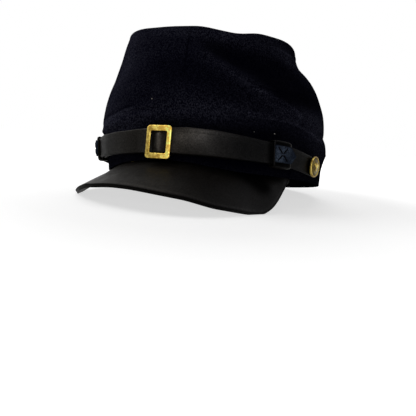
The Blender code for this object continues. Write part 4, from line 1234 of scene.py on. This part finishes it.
def buckle_piece():
    """The frame, a rounded flat bar round its opening, with a bar behind the strap on two short posts."""
    strap_back = float(outer_offset(BUCKLE_ANGLE))
    face = strap_back + STRAP_LEATHER + BUCKLE_PLAY
    half_width, half_height = BUCKLE_WIDTH / 2, BUCKLE_HEIGHT / 2
    outer = rounded_ring(half_width, half_height, BUCKLE_CORNER, 10)
    inner = rounded_ring(half_width - BUCKLE_SIDE, half_height - BUCKLE_RAIL, BUCKLE_INNER_CORNER, 10)
    turn = np.linspace(0, 2 * np.pi, 20, endpoint=False)
    wide = signed_power(np.cos(turn), BUCKLE_ROUNDNESS) / 2 + 0.5
    deep = signed_power(np.sin(turn), BUCKLE_ROUNDNESS) * BUCKLE_THICKNESS / 2 - BUCKLE_THICKNESS / 2
    flat = inner[:, None, :] + (outer - inner)[:, None, :] * wide[None, :, None]
    points = stack(flat[..., 0], deep[None, :], flat[..., 1])
    bar_front = face - strap_back + GAP
    post_from = float(strap_half(BUCKLE_ANGLE)) + BUCKLE_DROP + GAP
    post = half_height - BUCKLE_POST_INSET - post_from
    reach = bar_front + BUCKLE_BAR_THICKNESS + BUCKLE_THICKNESS / 2
    bar_size = (BUCKLE_BAR_WIDTH, BUCKLE_BAR_THICKNESS, 2 * (post_from + post))
    meshes = [
        grid_mesh("frame", points, closed_u=True, closed_v=True),
        block_mesh(bar_size, (0, bar_front + BUCKLE_BAR_THICKNESS / 2, 0)),
    ]
    for side in (-1, 1):
        centre = (0, reach / 2 - BUCKLE_THICKNESS / 2, side * (post_from + post / 2))
        meshes.append(block_mesh((BUCKLE_BAR_WIDTH, reach, post), centre))
    mesh = keep_shape(shape_of(*meshes), bpy.data.meshes.new("buckle_brass"))
    places = np.array([tuple(vertex.co) for vertex in mesh.vertices])
    # The buckle carries painted reflections and shade: brighter and duller bars and rails, and a dark back.
    tone = 0.0
    for wear_and_painted_light in BUCKLE_PAINTED_LIGHT:
        from_start = wear_and_painted_light.toward * places[:, wear_and_painted_light.axis] - wear_and_painted_light.start * MM
        tone = tone + wear_and_painted_light.tone * smooth(from_start / (wear_and_painted_light.reach * MM))
    set_shade(mesh, np.exp(tone))
    height = float(strap_height(BUCKLE_ANGLE)) - BUCKLE_DROP
    place = stand_on(BUCKLE_ANGLE, face, height, BUCKLE_TILT)
    add_piece("buckle_brass", mesh, BRASS, "buckle", matrix=place)


def blob(x, y, centre, radii, turn=0.0):
    """1 inside an ellipse, easing to 0 just outside it."""
    dx, dy = x - centre[0], y - centre[1]
    c, s = math.cos(turn), math.sin(turn)
    away = np.sqrt(((dx * c + dy * s) / radii[0]) ** 2 + ((dy * c - dx * s) / radii[1]) ** 2)
    return smooth((1.15 - away) / 0.3)


def emblem(x, y):
    """A spread bird over a small shield, a common ornament of such buttons. x and y are millimetres."""
    body = blob(x, y, (0, 0.2), (0.95, 2.0))
    head = blob(x, y, (-0.25, 2.7), (0.55, 0.75))
    tail = blob(x, y, (0, -2.3), (1.2, 1.0)) * 0.7
    forms = [body, head, tail, blob(x, y, (0, -0.2), (0.7, 0.85)) * 1.35]
    for side in (-1, 1):
        for i in range(4):
            centre = (side * (1.5 + 0.55 * i), 1.1 + 0.30 * i - 0.1 * i * i)
            feather = blob(x, y, centre, (0.36, 1.75 - 0.22 * i), side * (-0.25 - 0.12 * i))
            forms.append(feather * 0.8)
        forms.append(blob(x, y, (side * 1.9, -2.1), (1.1, 0.32), side * -0.5) * 0.6)
    return np.max(forms, axis=0)


def button_piece(side):
    """A domed button with its emblem, its rolled rim and the shank that goes in through the band."""
    degrees = BUTTON_ANGLE if side == "left" else -BUTTON_ANGLE
    seat = INNER_OFFSET + STRAP_LEATHER + GAP
    turn = np.linspace(0, 2 * np.pi, BUTTON_SIDES, endpoint=False)[None, :]
    rim_in = BUTTON_RADIUS - BUTTON_RIM
    bow = np.radians(np.linspace(0.6, 90, 34))[:, None]
    radius = rim_in * np.sin(bow)
    x, y = radius * np.cos(turn), radius * np.sin(turn)
    raised = emblem(x / MM, y / MM)
    rise = BUTTON_DOME_FOOT + (BUTTON_DOME - BUTTON_DOME_FOOT) * np.cos(bow)
    dome = stack(x, y, rise + BUTTON_RELIEF * raised * smooth((rim_in - radius) / BUTTON_FIELD_FADE))
    rolled = [(rim_in + out * MM, up * MM) for out, up in BUTTON_RIM_IN]
    rolled += [(BUTTON_RADIUS - inset * MM, up * MM) for inset, up in BUTTON_RIM_OUT]
    rolled += [(BUTTON_SHANK, 0.0), (BUTTON_SHANK, -(seat + WOOL + BUTTON_SHANK_END))]
    rolled = np.array(rolled)
    rest = stack(rolled[:, :1] * np.cos(turn), rolled[:, :1] * np.sin(turn), rolled[:, 1:])
    name = f"button_{side}_brass"
    mesh = grid_mesh(name, np.concatenate([dome, rest]), closed_u=True)
    close_ends(mesh, BUTTON_SIDES)
    groove = smooth((radius - rim_in + BUTTON_GROOVE) / BUTTON_FIELD_FADE)
    tone = BUTTON_EMBLEM_TONE * np.minimum(raised, 1) + BUTTON_GROOVE_TONE * groove
    field = np.exp(BUTTON_FIELD_TONE + tone)
    rim = np.full((len(rolled), BUTTON_SIDES), BUTTON_RIM_SHADES[-1])
    rim[:len(BUTTON_RIM_SHADES)] = np.array(BUTTON_RIM_SHADES)[:, None]
    set_shade(mesh, np.concatenate([field, rim]))
    place = stand_on(degrees, seat, float(strap_height(degrees)), math.pi / 2)
    add_piece(name, mesh, BRASS, f"button_{side}", matrix=place)


buckle_piece()
button_piece("left")
button_piece("right")


# ---------------- stage, light and camera


def stage():
    mesh = bpy.data.meshes.new("floor")
    corners = [(-1, -1), (1, -1), (1, 1), (-1, 1)]
    mesh.from_pydata([(x * FLOOR_REACH, y * FLOOR_REACH, 0) for x, y in corners], [], [(0, 1, 2, 3)])
    mesh.materials.append(floor_material())
    floor = add_object("floor", mesh)


def softbox(lamp):
    data = bpy.data.lights.new(lamp.name, "AREA")
    data.shape = "DISK"
    data.size = LAMP_SIZE
    data.energy = lamp.watts
    made = add_object(lamp.name, data)
    back = direction(math.radians(lamp.azimuth), math.radians(lamp.elevation))
    made.location = LAMP_AIM + back * LAMP_DISTANCE
    made.rotation_mode = "QUATERNION"
    made.rotation_quaternion = back.to_track_quat("Z", "Y")


def light():
    """A room that is white for the camera and dim for the cap, with soft lamps round it."""
    world = bpy.data.worlds.new("studio")
    bpy.context.scene.world = world
    world.use_nodes = True
    nodes = Nodes(world.node_tree)
    background = world.node_tree.nodes["Background"]
    nodes.put(background.inputs["Color"], WHITE)
    nodes.put(background.inputs["Strength"], nodes.remap(nodes.white_room(), 0.0, 1.0, ROOM_LIGHT, 1.0))
    for lamp in LAMPS:
        softbox(lamp)


def camera():
    back = direction(CAMERA_AZIMUTH, CAMERA_ELEVATION)
    right = Vector((0, 0, 1)).cross(back).normalized()
    looking = Matrix((right, back.cross(right), back))
    turn = (Matrix.Rotation(CAMERA_ROLL, 3, "Z") @ Matrix.Rotation(CAMERA_PITCH, 3, "X")
            @ Matrix.Rotation(CAMERA_YAW, 3, "Y"))
    data = bpy.data.cameras.new("camera")
    data.lens = CAMERA_LENS
    data.sensor_width = CAMERA_SENSOR
    data.clip_start = CAMERA_NEAREST
    made = add_object("camera", data)
    pose = (turn @ looking).transposed().to_4x4()
    pose.translation = CAMERA_AIM + back * CAMERA_DISTANCE
    made.matrix_world = REST @ pose
    bpy.context.scene.camera = made


stage()
light()
camera()
bpy.context.scene.view_settings.view_transform = "Standard"
